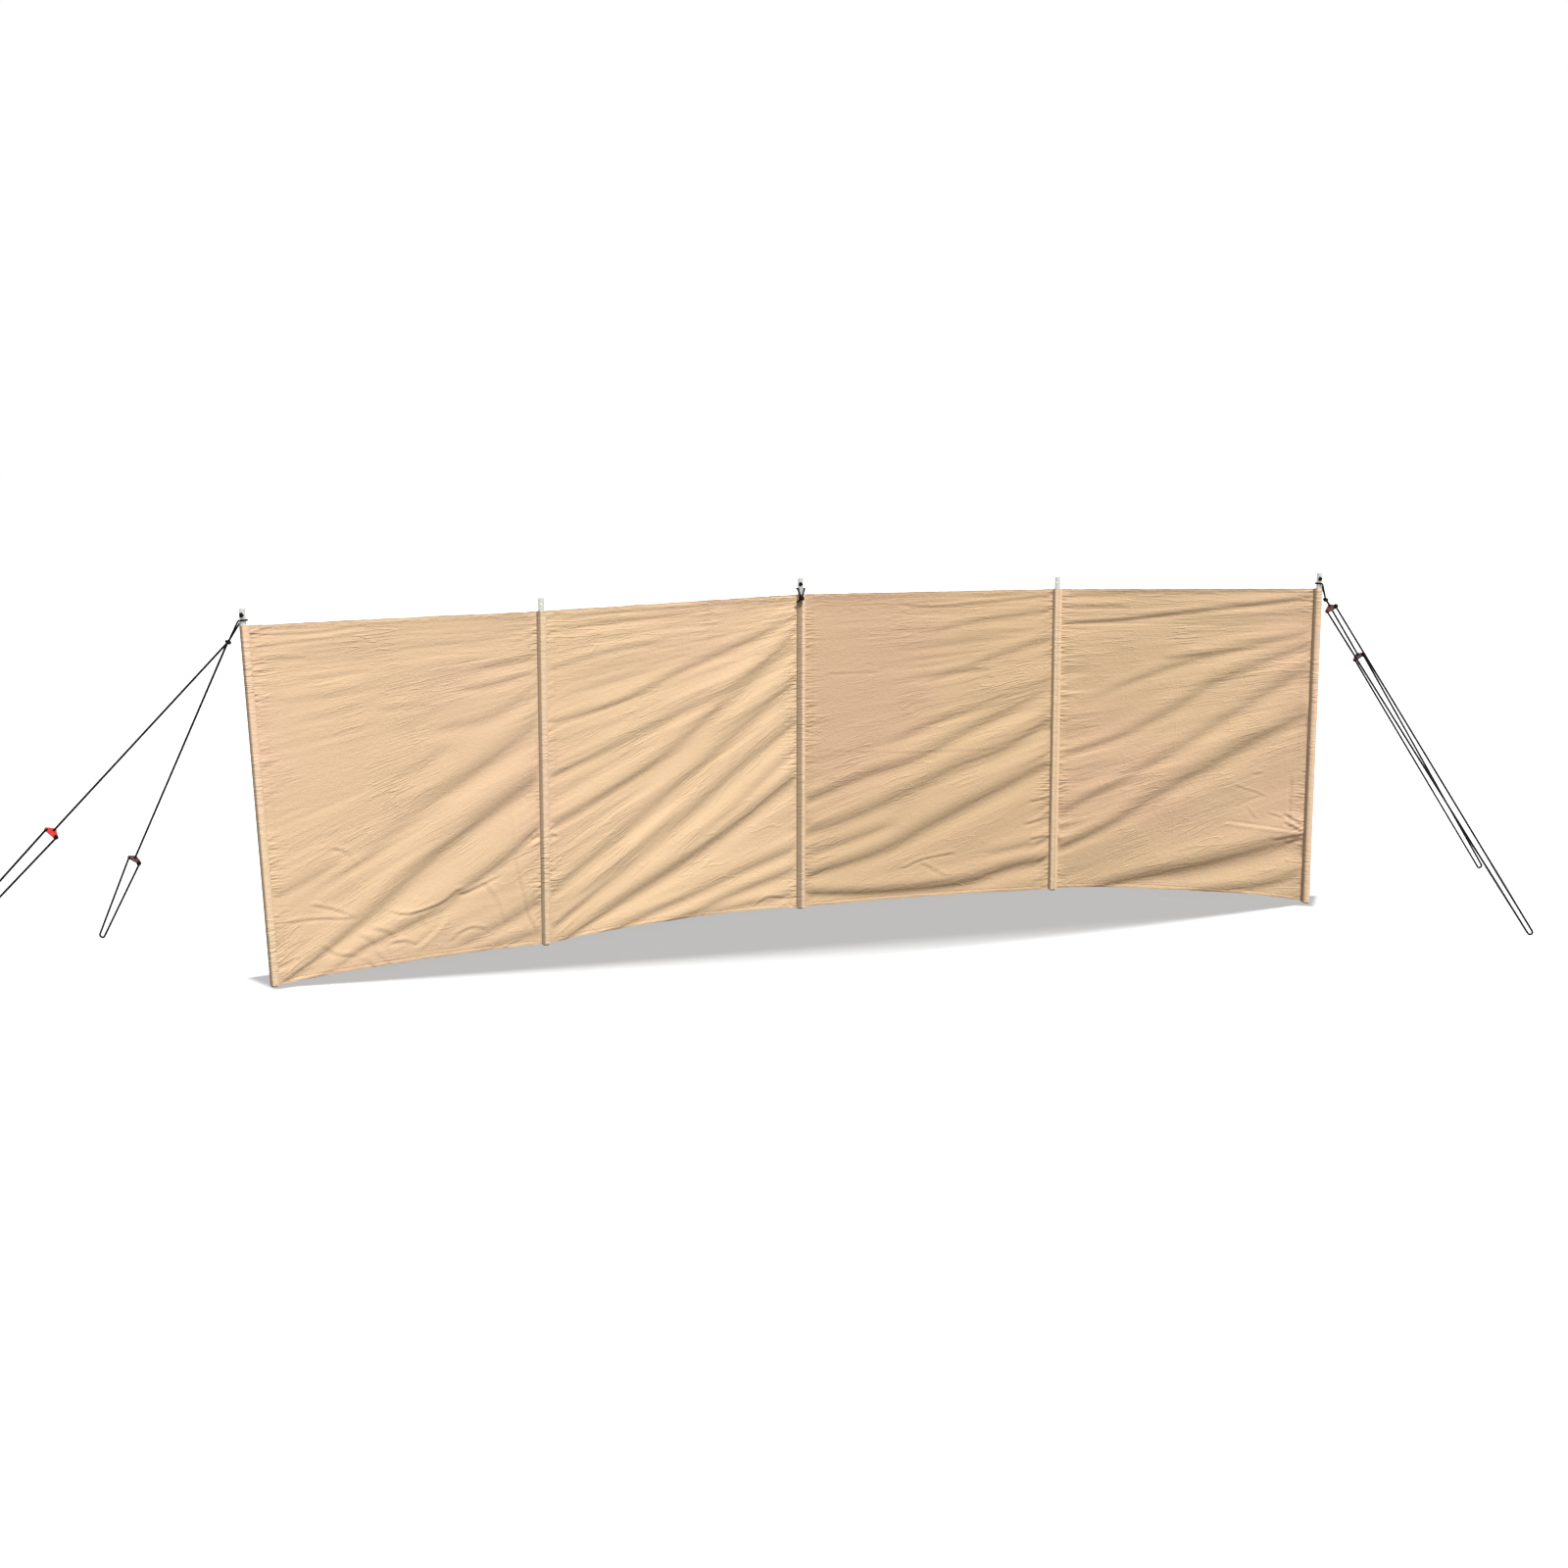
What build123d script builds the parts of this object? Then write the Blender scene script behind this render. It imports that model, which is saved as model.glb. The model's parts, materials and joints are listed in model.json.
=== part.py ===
"""Beach windbreak: cloth bays on tubular posts, with guys, runners and peg loops.

Millimetres. The origin is the middle of the middle post's foot, on the ground.
+X runs along the screen to the right, +Y points to its back, +Z is up.
"""
from build123d import *
from math import cos, radians, sin, sqrt
import os

# Plan: each bay's span from post to post, and its heading, turned from +X.
BAY_SPANS = (1220.0, 1290.0, 1235.0, 1145.0)
BAY_HEADINGS = (37.0, 35.0, 19.5, -15.0)
MIDDLE_POST = 2

# Posts: steel tubes with a plug in the foot and a cord hole near the top.
POST_HEIGHTS = (1454.0, 1436.0, 1464.0, 1440.0, 1476.0)
POST_LEANS = ((-86.0, 46.0), (0.0, 0.0), (0.0, 0.0), (0.0, 0.0), (18.0, 28.0))
TUBE_DIAMETER = 25.0
TUBE_WALL = 1.2
PLUG_FLANGE = 3.0
PLUG_DEPTH = 22.0
PLUG_GAP = 0.1
PLUG_CHAMFER = 1.5
CORD_HOLE_DROP = 25.0

# Cloth: a sleeve on each post and a panel with two hems in each bay.
CLOTH_DROPS = (65.0, 51.0, 69.0, 53.0, 67.0)
CLOTH_FOOT = 5.0
CLOTH_GAP = 0.3
SLEEVE_WALL = 1.2
SEAM_REACH = 21.0
SEAM_LAP = 5.0
SLEEVE_REACH = 62.0
PANEL_THICKNESS = 2.4
HEM_WIDTH = 18.0
HEM_THICKNESS = 3.6
PANEL_BELLIES = (14.0, 18.0, 10.0, 16.0)
HEM_ARCHES = (14.0, 24.0, 6.0, 24.0)
PANEL_SECTIONS = 5

# Cord and its knots. A full bend takes this share of the room that its corner leaves.
CORD_RADIUS = 3.5
CORD_SIDES = 6
CORD_GAP = 0.3
CORD_HOLE_GAP = 0.5
FULL_BEND = 0.95
KNOT_RADIUS = 9.0
STOPPER_RADIUS = 8.0
STOPPER_LENGTH = 12.0
STOPPER_WAIST = 6.4
STOPPER_CREST = 0.4

# Collars: the post, the heading of the pull, how far the knot stands off the sleeve's
# round and how far it is down from the post's top.
COLLAR_DROP = 45.0
COLLAR_REACH = 12.0
COLLAR_BEND = 8.0
COLLARS = (
    ("left", 0, 170.0, 52.0, 124.0),
    ("middle", 2, -80.0, 16.0, 85.0),
    ("right", 4, -2.0, 18.0, 117.0),
)
TAIL_COLLAR = "middle"
TAIL_LENGTH = 20.0
TAIL_DIRECTION = (-0.77, -0.1, -0.63)

# Guys: the collar, the heading and reach of the peg from the post's foot, and where
# the runner is: its share of the way to the peg.
GUY_END_HEIGHT = 15.0
BIGHT_RADIUS = 10.0
GUYS = (
    ("left_front", "left", -158.0, 1420.0, 0.52),
    ("left_back", "left", 137.5, 1207.0, 0.72),
    ("right_back", "right", 37.5, 1260.0, 0.20),
    ("right_front", "right", -42.3, 1072.0, 0.025),
)
RUNNER_MIN_GAP = 34.0

# Runner: a bent plate with an eye at each tip and one at the bend.
RUNNER_HALF_SPAN = 23.0
RUNNER_RISE = 15.0
RUNNER_EYE_RIM = 8.5
RUNNER_THICKNESS = 5.0
RUNNER_EDGE = 0.9
RUNNER_EYE_GAP = 1.4

TUBE_RADIUS = TUBE_DIAMETER / 2
SLEEVE_BORE = TUBE_RADIUS + CLOTH_GAP
SLEEVE_RADIUS = SLEEVE_BORE + SLEEVE_WALL
CORD_HOLE_RADIUS = CORD_RADIUS + CORD_HOLE_GAP
CORD_RING = TUBE_RADIUS + CORD_GAP + CORD_RADIUS
POST_COUNT = len(POST_HEIGHTS)


def heading(degrees):
    return Vector(cos(radians(degrees)), sin(radians(degrees)), 0)


def post_feet():
    """Walk out from the middle post, bay by bay, to both ends."""
    feet = {MIDDLE_POST: Vector(0, 0, 0)}
    for bay in range(MIDDLE_POST, POST_COUNT - 1):
        feet[bay + 1] = feet[bay] + heading(BAY_HEADINGS[bay]) * BAY_SPANS[bay]
    for bay in range(MIDDLE_POST - 1, -1, -1):
        feet[bay] = feet[bay + 1] - heading(BAY_HEADINGS[bay]) * BAY_SPANS[bay]
    return [feet[number] for number in range(POST_COUNT)]


FEET = post_feet()


def post_axis(number):
    lean_x, lean_y = POST_LEANS[number]
    return Vector(lean_x, lean_y, POST_HEIGHTS[number]).normalized()


def post_plane(number, facing):
    """A plane on the post's foot, with Z up its axis and X as near to facing as it can be.

    A leaning foot stands on its lowest edge, so its centre is that much higher.
    """
    axis = post_axis(number)
    across = facing - axis * facing.dot(axis)
    lift = TUBE_RADIUS * sqrt(1 - axis.Z ** 2)
    return Plane(FEET[number] + Vector(0, 0, lift), across, axis)


def cloth_top(number):
    return POST_HEIGHTS[number] - CLOTH_DROPS[number]


def place(plane, solid):
    return plane.location * solid


def build_tube(number):
    """The tube, with a cord hole right through it, in line with the view from the front."""
    length = POST_HEIGHTS[number] - PLUG_FLANGE
    ring = Circle(TUBE_RADIUS) - Circle(TUBE_RADIUS - TUBE_WALL)
    tube = Pos(0, 0, PLUG_FLANGE) * extrude(ring, length)
    drill = Cylinder(CORD_HOLE_RADIUS, 2 * TUBE_DIAMETER, rotation=(0, 90, 0))
    tube -= Pos(0, 0, POST_HEIGHTS[number] - CORD_HOLE_DROP) * drill
    return place(post_plane(number, Vector(0, -1, 0)), tube)


def build_plug(number):
    """The foot plug: a flange that the tube stands on, and a spigot up inside it."""
    spigot_radius = TUBE_RADIUS - TUBE_WALL - PLUG_GAP
    plug = extrude(Circle(TUBE_RADIUS), PLUG_FLANGE)
    plug += extrude(Circle(spigot_radius), PLUG_FLANGE + PLUG_DEPTH)
    plug = chamfer(plug.edges().sort_by(Axis.Z)[-1], PLUG_CHAMFER)
    return place(post_plane(number, Vector(0, -1, 0)), plug)


def shoulder(direction, radius, reach, end_thickness):
    """The part of a sleeve from its round, which it is tangent to, in to its seam."""
    side = Vector(-direction.Y, direction.X, 0)
    tip = direction * reach
    tangent = direction * (radius ** 2 / reach) + side * (radius * sqrt(1 - (radius / reach) ** 2))
    other = direction * (radius ** 2 / reach) - side * (radius * sqrt(1 - (radius / reach) ** 2))
    half = side * (end_thickness / 2)
    return make_face(Polyline(tangent, tip + half, tip - half, other, close=True))


def wing(direction):
    """The flat cloth from a sleeve's seam out to the panel."""
    side = Vector(-direction.Y, direction.X, 0) * (PANEL_THICKNESS / 2)
    inner = direction * (SEAM_REACH - SEAM_LAP / 2)
    outer = direction * SLEEVE_REACH
    return make_face(Polyline(inner + side, outer + side, outer - side, inner - side, close=True))


def bay_directions(number):
    """Which way the cloth leaves this post: back along one bay, on along the next."""
    ways = []
    if number > 0:
        ways.append(heading(BAY_HEADINGS[number - 1]) * -1)
    if number < POST_COUNT - 1:
        ways.append(heading(BAY_HEADINGS[number]))
    return ways


def build_sleeve(number):
    """A tunnel of cloth round the post, with a flat wing beyond the seam towards each bay."""
    outer = Sketch() + Circle(SLEEVE_RADIUS)
    inner = Sketch() + Circle(SLEEVE_BORE)
    for way in bay_directions(number):
        outer += shoulder(way, SLEEVE_RADIUS, SEAM_REACH, PANEL_THICKNESS)
        outer += wing(way)
        inner += shoulder(way, SLEEVE_BORE, SEAM_REACH - SEAM_LAP, CLOTH_GAP)
    length = cloth_top(number) - CLOTH_FOOT
    sleeve = Pos(0, 0, CLOTH_FOOT) * extrude(outer - inner, length)
    return place(post_plane(number, Vector(1, 0, 0)), sleeve)


def seam_line(number, way):
    """The two ends, foot and top, of the seam where a panel joins a sleeve's wing."""
    plane = post_plane(number, Vector(1, 0, 0))
    seam = way * (SLEEVE_REACH + CLOTH_GAP)
    foot = plane.from_local_coords(seam + Vector(0, 0, CLOTH_FOOT))
    top = plane.from_local_coords(seam + Vector(0, 0, cloth_top(number)))
    return foot, top


def cloth_point(bay, along, up):
    """A point in the middle of the cloth, for shares of the way along and up the bay."""
    way = heading(BAY_HEADINGS[bay])
    left_foot, left_top = seam_line(bay, way)
    right_foot, right_top = seam_line(bay + 1, way * -1)
    bulge = 4 * along * (1 - along)
    foot = left_foot * (1 - along) + right_foot * along + Vector(0, 0, HEM_ARCHES[bay] * bulge)
    top = left_top * (1 - along) + right_top * along
    back = Vector(-way.Y, way.X, 0)
    return foot * (1 - up) + top * up + back * (PANEL_BELLIES[bay] * bulge * sin(radians(180 * up)))


def build_strip(bay, low, high, thickness):
    """A band of cloth between two heights: shares of the bay's height, as functions of along."""
    way = heading(BAY_HEADINGS[bay])
    half = Vector(-way.Y, way.X, 0) * (thickness / 2)
    sections = []
    for step in range(PANEL_SECTIONS):
        along = step / (PANEL_SECTIONS - 1)
        levels = (low(bay, along), (low(bay, along) + high(bay, along)) / 2, high(bay, along))
        points = [cloth_point(bay, along, up) for up in levels]
        is_flat = step in (0, PANEL_SECTIONS - 1)
        if is_flat:
            front = Line(points[0] - half, points[2] - half)
            back = Line(points[2] + half, points[0] + half)
        else:
            front = ThreePointArc(*[point - half for point in points])
            back = ThreePointArc(*[point + half for point in reversed(points)])
        top = Line(points[2] - half, points[2] + half)
        foot = Line(points[0] + half, points[0] - half)
        sections.append(make_face([front, top, back, foot]))
    return loft(sections)


def hem_share(bay, along):
    height = (cloth_point(bay, along, 1) - cloth_point(bay, along, 0)).length
    return HEM_WIDTH / height


def build_panel(bay):
    return build_strip(bay, hem_share, lambda b, a: 1 - hem_share(b, a), PANEL_THICKNESS)


def build_foot_hem(bay):
    return build_strip(bay, lambda b, a: 0, hem_share, HEM_THICKNESS)


def build_top_hem(bay):
    return build_strip(bay, lambda b, a: 1 - hem_share(b, a), lambda b, a: 1, HEM_THICKNESS)


def cord_along(path):
    """A plain cord of a few flat sides, on a path of straight runs and tangent arcs."""
    section = Plane(origin=path @ 0, z_dir=path % 0) * RegularPolygon(CORD_RADIUS, CORD_SIDES)
    return sweep(section, path=path)


def stopper_knot():
    """A stopper of two turns, with a flat seat on z=0 and its axis on Z."""
    turn = STOPPER_LENGTH / 2
    profile = [(0, 0), (STOPPER_WAIST, 0)]
    for number in range(2):
        profile.append((STOPPER_RADIUS, (number + 0.5 - STOPPER_CREST / 2) * turn))
        profile.append((STOPPER_RADIUS, (number + 0.5 + STOPPER_CREST / 2) * turn))
        profile.append((STOPPER_WAIST, (number + 1) * turn))
    profile.append((0, STOPPER_LENGTH))
    return revolve(Plane.XZ * make_face(Polyline(*profile, close=True)), Axis.Z)


def knot_place(number, pull, standoff, drop):
    plane = post_plane(number, heading(pull))
    out = SLEEVE_RADIUS + standoff
    return plane.from_local_coords(Vector(out, 0, POST_HEIGHTS[number] - drop))


def build_collar(number, pull, standoff, drop):
    """The cord's end: a stopper, through the post, down its back and round to the knot."""
    top = POST_HEIGHTS[number]
    ring_height = top - COLLAR_DROP
    knot = Vector(SLEEVE_RADIUS + standoff, 0, top - drop)
    corners = []
    for side in (1, -1):
        bend = Vector(COLLAR_REACH, side * CORD_RING, ring_height)
        back = Vector(-CORD_RING, side * CORD_RING, ring_height)
        end = knot + (bend - knot).normalized() * (KNOT_RADIUS + CORD_GAP)
        corners.append([end, bend, back])
    route = corners[0] + corners[1][::-1]
    round_back = CORD_RING * FULL_BEND
    path = FilletPolyline(*route, radius=[COLLAR_BEND, round_back, round_back, COLLAR_BEND])
    loop = place(post_plane(number, heading(pull)), cord_along(path))
    seat = TUBE_RADIUS + CORD_GAP
    strand_path = FilletPolyline(
        Vector(seat, 0, top - CORD_HOLE_DROP),
        Vector(-CORD_RING, 0, top - CORD_HOLE_DROP),
        Vector(-CORD_RING, 0, ring_height),
        radius=CORD_RING - TUBE_RADIUS,
    )
    stopper = Pos(seat, 0, top - CORD_HOLE_DROP) * (Rot(0, 90, 0) * stopper_knot())
    strand = place(post_plane(number, Vector(0, -1, 0)), cord_along(strand_path) + stopper)
    return loop + strand


def build_tail(knot):
    """The short end that is left hanging out of the knot."""
    way = Vector(*TAIL_DIRECTION).normalized()
    return cord_along(Line(knot, knot + way * (KNOT_RADIUS + TAIL_LENGTH)))


def guy_plane(start, end):
    """X runs down the guy, Z looks out of the runner's face, as near to the front as it can."""
    way = (end - start).normalized()
    front = Vector(0, -1, 0)
    return Plane(start, way, front - way * front.dot(way))


def build_runner():
    """The plate, in the guy's frame: its tips' eyes on x=0 and the bend's eye before them."""
    eyes = [Vector(0, -RUNNER_HALF_SPAN), Vector(-RUNNER_RISE, 0), Vector(0, RUNNER_HALF_SPAN)]
    outline = Sketch()
    for first, second in zip(eyes, eyes[1:]):
        rims = [Pos(*tuple(eye)) * Circle(RUNNER_EYE_RIM) for eye in (first, second)]
        outline += make_hull(rims[0].edges() + rims[1].edges())
    plate = extrude(outline, RUNNER_THICKNESS / 2, both=True)
    plate = chamfer(plate.edges().filter_by(Plane.XY), RUNNER_EDGE)
    for eye in eyes:
        plate -= Pos(*tuple(eye)) * Cylinder(CORD_RADIUS + RUNNER_EYE_GAP, 2 * RUNNER_THICKNESS)
    return plate


def guy_route(length, runner_at):
    """The cord's corners, from the knot through the runner, round the peg and back to it."""
    lift = RUNNER_THICKNESS / 2 + CORD_RADIUS + CORD_GAP
    bend = runner_at - RUNNER_RISE
    span = RUNNER_HALF_SPAN
    route = [
        Vector(KNOT_RADIUS + CORD_GAP, 0, lift),
        Vector(bend, 0, lift),
        Vector(bend, 0, -lift),
        Vector(runner_at, -span, -lift),
        Vector(runner_at, -span, lift),
        Vector(length, -BIGHT_RADIUS, 0),
        Vector(length, BIGHT_RADIUS, 0),
        Vector(runner_at, span, -lift),
        Vector(runner_at, span, RUNNER_THICKNESS / 2),
    ]
    eye_bend = lift * FULL_BEND
    radii = [eye_bend] * 4 + [BIGHT_RADIUS * FULL_BEND] * 2 + [eye_bend]
    return FilletPolyline(*route, radius=radii)


def save(name, solid):
    export_step(solid, f"parts/{name}.step")


def main():
    os.makedirs("parts", exist_ok=True)
    for number in range(POST_COUNT):
        save(f"post_{number + 1}", build_tube(number))
        save(f"post_plug_{number + 1}", build_plug(number))
        save(f"sleeve_{number + 1}", build_sleeve(number))
    for bay in range(POST_COUNT - 1):
        save(f"panel_{bay + 1}", build_panel(bay))
        save(f"foot_hem_{bay + 1}", build_foot_hem(bay))
        save(f"top_hem_{bay + 1}", build_top_hem(bay))
    knots = {}
    for name, number, pull, standoff, drop in COLLARS:
        knots[name] = knot_place(number, pull, standoff, drop)
        save(f"collar_{name}", build_collar(number, pull, standoff, drop))
        knot = Pos(knots[name]) * Sphere(KNOT_RADIUS)
        if name == TAIL_COLLAR:
            knot += build_tail(knots[name])
        save(f"collar_knot_{name}", knot)
    runner = build_runner()
    collar_posts = {name: number for name, number, *_ in COLLARS}
    for name, collar, bearing, reach, share in GUYS:
        start = knots[collar]
        foot = FEET[collar_posts[collar]]
        end = foot + heading(bearing) * reach + Vector(0, 0, GUY_END_HEIGHT)
        length = (end - start).length
        runner_at = max(share * length, RUNNER_RISE + RUNNER_MIN_GAP)
        plane = guy_plane(start, end)
        save(f"guy_{name}", place(plane, cord_along(guy_route(length, runner_at))))
        save(f"runner_{name}", place(plane, Pos(runner_at, 0, 0) * runner))
        seat = Pos(runner_at, RUNNER_HALF_SPAN, RUNNER_THICKNESS / 2)
        save(f"runner_knot_{name}", place(plane, seat * stopper_knot()))
        print(name, "guy", round(length), "runner at", round(runner_at))


main()
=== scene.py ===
# %% [markdown]
# # A beach windbreak
#
# Four bays of plain cotton stand between five tube posts. Each post runs up
# through a tunnel that is sewn into the cloth, and cord guys hold the two end
# posts upright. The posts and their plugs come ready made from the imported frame.
# This script makes the rest: the cloth, its stitches, the cord and the runners.
#
# The frame is loaded first, because every place below is taken from it.

# %% Load the frame
import json
from math import cos, pi, radians, sin

import bmesh
import bpy
import numpy as np
from mathutils import Matrix, Vector
from mathutils.geometry import convex_hull_2d


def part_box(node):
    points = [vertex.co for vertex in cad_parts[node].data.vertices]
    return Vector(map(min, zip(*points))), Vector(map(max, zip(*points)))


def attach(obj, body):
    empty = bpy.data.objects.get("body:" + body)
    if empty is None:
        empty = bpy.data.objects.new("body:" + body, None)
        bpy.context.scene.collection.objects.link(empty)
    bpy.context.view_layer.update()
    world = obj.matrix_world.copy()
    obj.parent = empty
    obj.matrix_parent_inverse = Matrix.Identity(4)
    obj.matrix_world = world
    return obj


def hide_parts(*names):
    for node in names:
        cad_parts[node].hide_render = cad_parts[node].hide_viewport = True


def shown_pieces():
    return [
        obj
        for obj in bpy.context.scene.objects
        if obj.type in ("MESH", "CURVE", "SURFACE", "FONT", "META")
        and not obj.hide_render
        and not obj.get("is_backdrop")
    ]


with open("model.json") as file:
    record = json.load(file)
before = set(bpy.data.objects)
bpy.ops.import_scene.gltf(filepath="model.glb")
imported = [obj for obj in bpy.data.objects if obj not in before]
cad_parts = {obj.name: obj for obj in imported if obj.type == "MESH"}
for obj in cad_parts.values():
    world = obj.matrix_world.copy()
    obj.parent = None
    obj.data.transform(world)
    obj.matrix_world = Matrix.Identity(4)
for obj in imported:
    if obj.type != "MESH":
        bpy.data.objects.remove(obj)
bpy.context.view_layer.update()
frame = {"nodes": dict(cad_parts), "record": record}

scene = bpy.context.scene
nodes = frame["nodes"]
mounts = {mount["name"]: Vector(mount["pos_m"]) for mount in frame["record"]["mounts"]}
POST_COUNT = 5
BAY_COUNT = POST_COUNT - 1

# %% [markdown]
# The camera stands in front of the row, a little above its top edge. It could
# be aimed with a Track To constraint, but plain numbers say more about the view:
# its height, its distance and how far it looks down.

# %% Set the camera
EYE_PLACE = (-0.072, -10.613, 2.222)
EYE_DOWN = 8.911
EYE_LENS = 55.97
EYE_SENSOR = 36.0

eye_lens = bpy.data.cameras.new("eye")
eye_lens.lens = EYE_LENS
eye_lens.sensor_width = EYE_SENSOR
eye = bpy.data.objects.new("eye", eye_lens)
eye.location = EYE_PLACE
eye.rotation_euler = (radians(90 - EYE_DOWN), 0, 0)
scene.collection.objects.link(eye)
scene.camera = eye
print("the camera is", round(-EYE_PLACE[1], 2), "m in front of the middle post")

# %% [markdown]
# Node trees are built in code here, so a few small helpers come first. A Wire
# wraps an output socket, and arithmetic on it adds Math nodes, which keeps
# shader maths readable. A Board fills one tree: add() makes any node from its
# settings and then from the values or wires of its sockets.

# %% Shader maths as plain arithmetic
class Wire:
    """An output socket that takes part in plain arithmetic."""

    def __init__(self, board, socket):
        self.board = board
        self.socket = socket

    def maths(self, operation, *values):
        return self.board.add("ShaderNodeMath", {"operation": operation}, dict(enumerate(values)))

    def __add__(self, other):
        return self.maths("ADD", self, other)

    def __sub__(self, other):
        return self.maths("SUBTRACT", self, other)

    def __rsub__(self, other):
        return self.maths("SUBTRACT", other, self)

    def __mul__(self, other):
        return self.maths("MULTIPLY", self, other)

    def __truediv__(self, other):
        return self.maths("DIVIDE", self, other)

    def __rtruediv__(self, other):
        return self.maths("DIVIDE", other, self)

    __radd__ = __add__
    __rmul__ = __mul__

    def __abs__(self):
        return self.maths("ABSOLUTE", self)

    def sine(self):
        return self.maths("SINE", self)

    def at_least(self, other):
        return self.maths("MAXIMUM", self, other)

    def at_most(self, other):
        return self.maths("MINIMUM", self, other)


# %% A board that fills a node tree
class Board:
    """A node tree that is filled from nothing."""

    def __init__(self, tree):
        self.tree = tree
        tree.nodes.clear()

    def add(self, kind, settings=None, sockets=None, output=0):
        node = self.tree.nodes.new(kind)
        for name, value in (settings or {}).items():
            setattr(node, name, value)
        for name, value in (sockets or {}).items():
            if isinstance(value, Wire):
                self.tree.links.new(value.socket, node.inputs[name])
            else:
                node.inputs[name].default_value = value
        return Wire(self, node.outputs[output]) if node.outputs else None


# %% [markdown]
# The finishes below share a frame. Each mixes its colour from a few others,
# turns a height in metres into bump, and ends in one Principled surface. Colours
# are written as on a paint card, because those numbers are easy to picture, and
# turned into the linear values that Blender works in.

# %% Colours and the ends of a finish
def tone(red, green, blue):
    """A colour written as on a paint card, 0 to 255, as Blender's linear values."""
    parts = [value / 255 for value in (red, green, blue)]
    return (*[part / 12.92 if part < 0.04 else ((part + 0.055) / 1.055) ** 2.4 for part in parts], 1)


def scaled(colour, share):
    """A lighter or darker kind of a colour, at most white."""
    return [min(part * share, 1) for part in colour[:3]] + [1]


def new_finish(name):
    material = bpy.data.materials.new(name)
    material.use_nodes = True
    return material, Board(material.node_tree)


def mixed(board, share, low, high, blend="MIX"):
    """A colour between two others, by a share from 0 to 1."""
    return board.add("ShaderNodeMix", {"data_type": "RGBA", "blend_type": blend},
                     {0: share, 6: low, 7: high}, output=2)


def close_finish(board, height, skin):
    bump = board.add("ShaderNodeBump", None, {"Strength": 1.0, "Distance": 1.0, "Height": height})
    surface = board.add("ShaderNodeBsdfPrincipled", None, {**skin, "Normal": bump})
    board.add("ShaderNodeOutputMaterial", None, {"Surface": surface})


print("a cotton tone in linear values:", [round(part, 3) for part in tone(222, 190, 153)[:3]])

# %% [markdown]
# Where the posts stand is read from their tubes. The ring of points at each end
# of a tube gives a point on its axis, so a leaning post needs nothing more. The
# cloth's own heights come from the boxes of the plain CAD sleeves.

# %% Read the posts
TUBE_RADIUS = 0.0125
END_RING = 0.003
TOP_GAP = 0.001


def corner_array(name):
    return np.array([corner.co[:] for corner in nodes[name].data.vertices])


def tube_axis(name):
    """A point at the foot of a tube's axis, and the axis scaled to rise one metre."""
    points = corner_array(name)
    low = points[points[:, 2] < points[:, 2].min() + END_RING].mean(0)
    high = points[points[:, 2] > points[:, 2].max() - END_RING].mean(0)
    rise = (high - low) / (high[2] - low[2])
    return low - rise * low[2], rise


def on_axis(number, height):
    foot, rise = axes[number]
    return foot + rise * np.asarray(height)[..., None]


axes = [tube_axis(f"post_{number + 1}") for number in range(POST_COUNT)]
cloth_tops = [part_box(f"sleeve_{number + 1}")[1].z - TOP_GAP for number in range(POST_COUNT)]
print("cloth tops:", [round(top, 3) for top in cloth_tops])

# %% [markdown]
# A bay is the cloth between two posts. A place on it is named by x, the distance
# from its left post, and by up, the share of the way from its bottom edge to its
# top one. The bottom edge lifts a little between the posts, as cloth that is
# pulled at its corners does.

# %% Lay out the bays
CLOTH_FOOT = 0.005
ARCHES = (0.014, 0.024, 0.006, 0.024)
ARCH_POWERS = (2.0, 2.0, 2.0, 3.6)


class Bay:
    """One bay's span, directions and edges."""

    def __init__(self, number):
        self.number = number
        way = axes[number + 1][0] - axes[number][0]
        self.span = float(np.linalg.norm(way))
        self.way = way / self.span
        self.front = np.array([self.way[1], -self.way[0], 0.0])

    def edges(self, x):
        share = x / self.span
        arch = 1 - np.abs(2 * share - 1) ** ARCH_POWERS[self.number]
        low = CLOTH_FOOT + ARCHES[self.number] * np.clip(arch, 0, 1)
        high = cloth_tops[self.number] * (1 - share) + cloth_tops[self.number + 1] * share
        return low, high

    def height(self, x, up):
        low, high = self.edges(x)
        return low + (high - low) * up

    def place(self, x, height, lift):
        """Points on the cloth, lifted off the plane of the posts to the front."""
        share = (x / self.span)[..., None]
        flat = on_axis(self.number, height) * (1 - share) + on_axis(self.number + 1, height) * share
        return flat + self.front * lift[..., None]


def bays_beside(post):
    """The bays to the left and right of a post. An end post has the same one on both sides."""
    return bays[max(post - 1, 0)], bays[min(post, BAY_COUNT - 1)]


bays = [Bay(number) for number in range(BAY_COUNT)]
print("spans:", [round(bay.span, 3) for bay in bays])

# %% [markdown]
# The floor is seen white. It is a dim tone that two strong lamps of its own light
# up, and the glow added to it sets how pale its shadows are. The rays that light
# the cloth find the floor nearly black, so it throws hardly any light back up,
# and the folds stay crisp.

# %% Lay the floor
FLOOR_HALF = 60.0
FLOOR_DROP = 0.0005
FLOOR_TONE = 0.12
FLOOR_BOUNCE = 0.03
FLOOR_GLOW = 0.455


def seen_directly(board):
    """1 on camera, mirror and glass rays, and 0 on the rays that light the scene."""
    rays = [board.add("ShaderNodeLightPath", output=name)
            for name in ("Is Camera Ray", "Is Glossy Ray", "Is Transmission Ray")]
    return rays[0].at_least(rays[1]).at_least(rays[2])


def stage_mesh(name, points, faces):
    """A studio thing: it shows in the picture or shades it, and is no part of the object."""
    mesh = bpy.data.meshes.new(name)
    mesh.from_pydata(points, [], faces)
    thing = bpy.data.objects.new(name, mesh)
    scene.collection.objects.link(thing)
    thing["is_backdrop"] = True
    return thing


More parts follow.
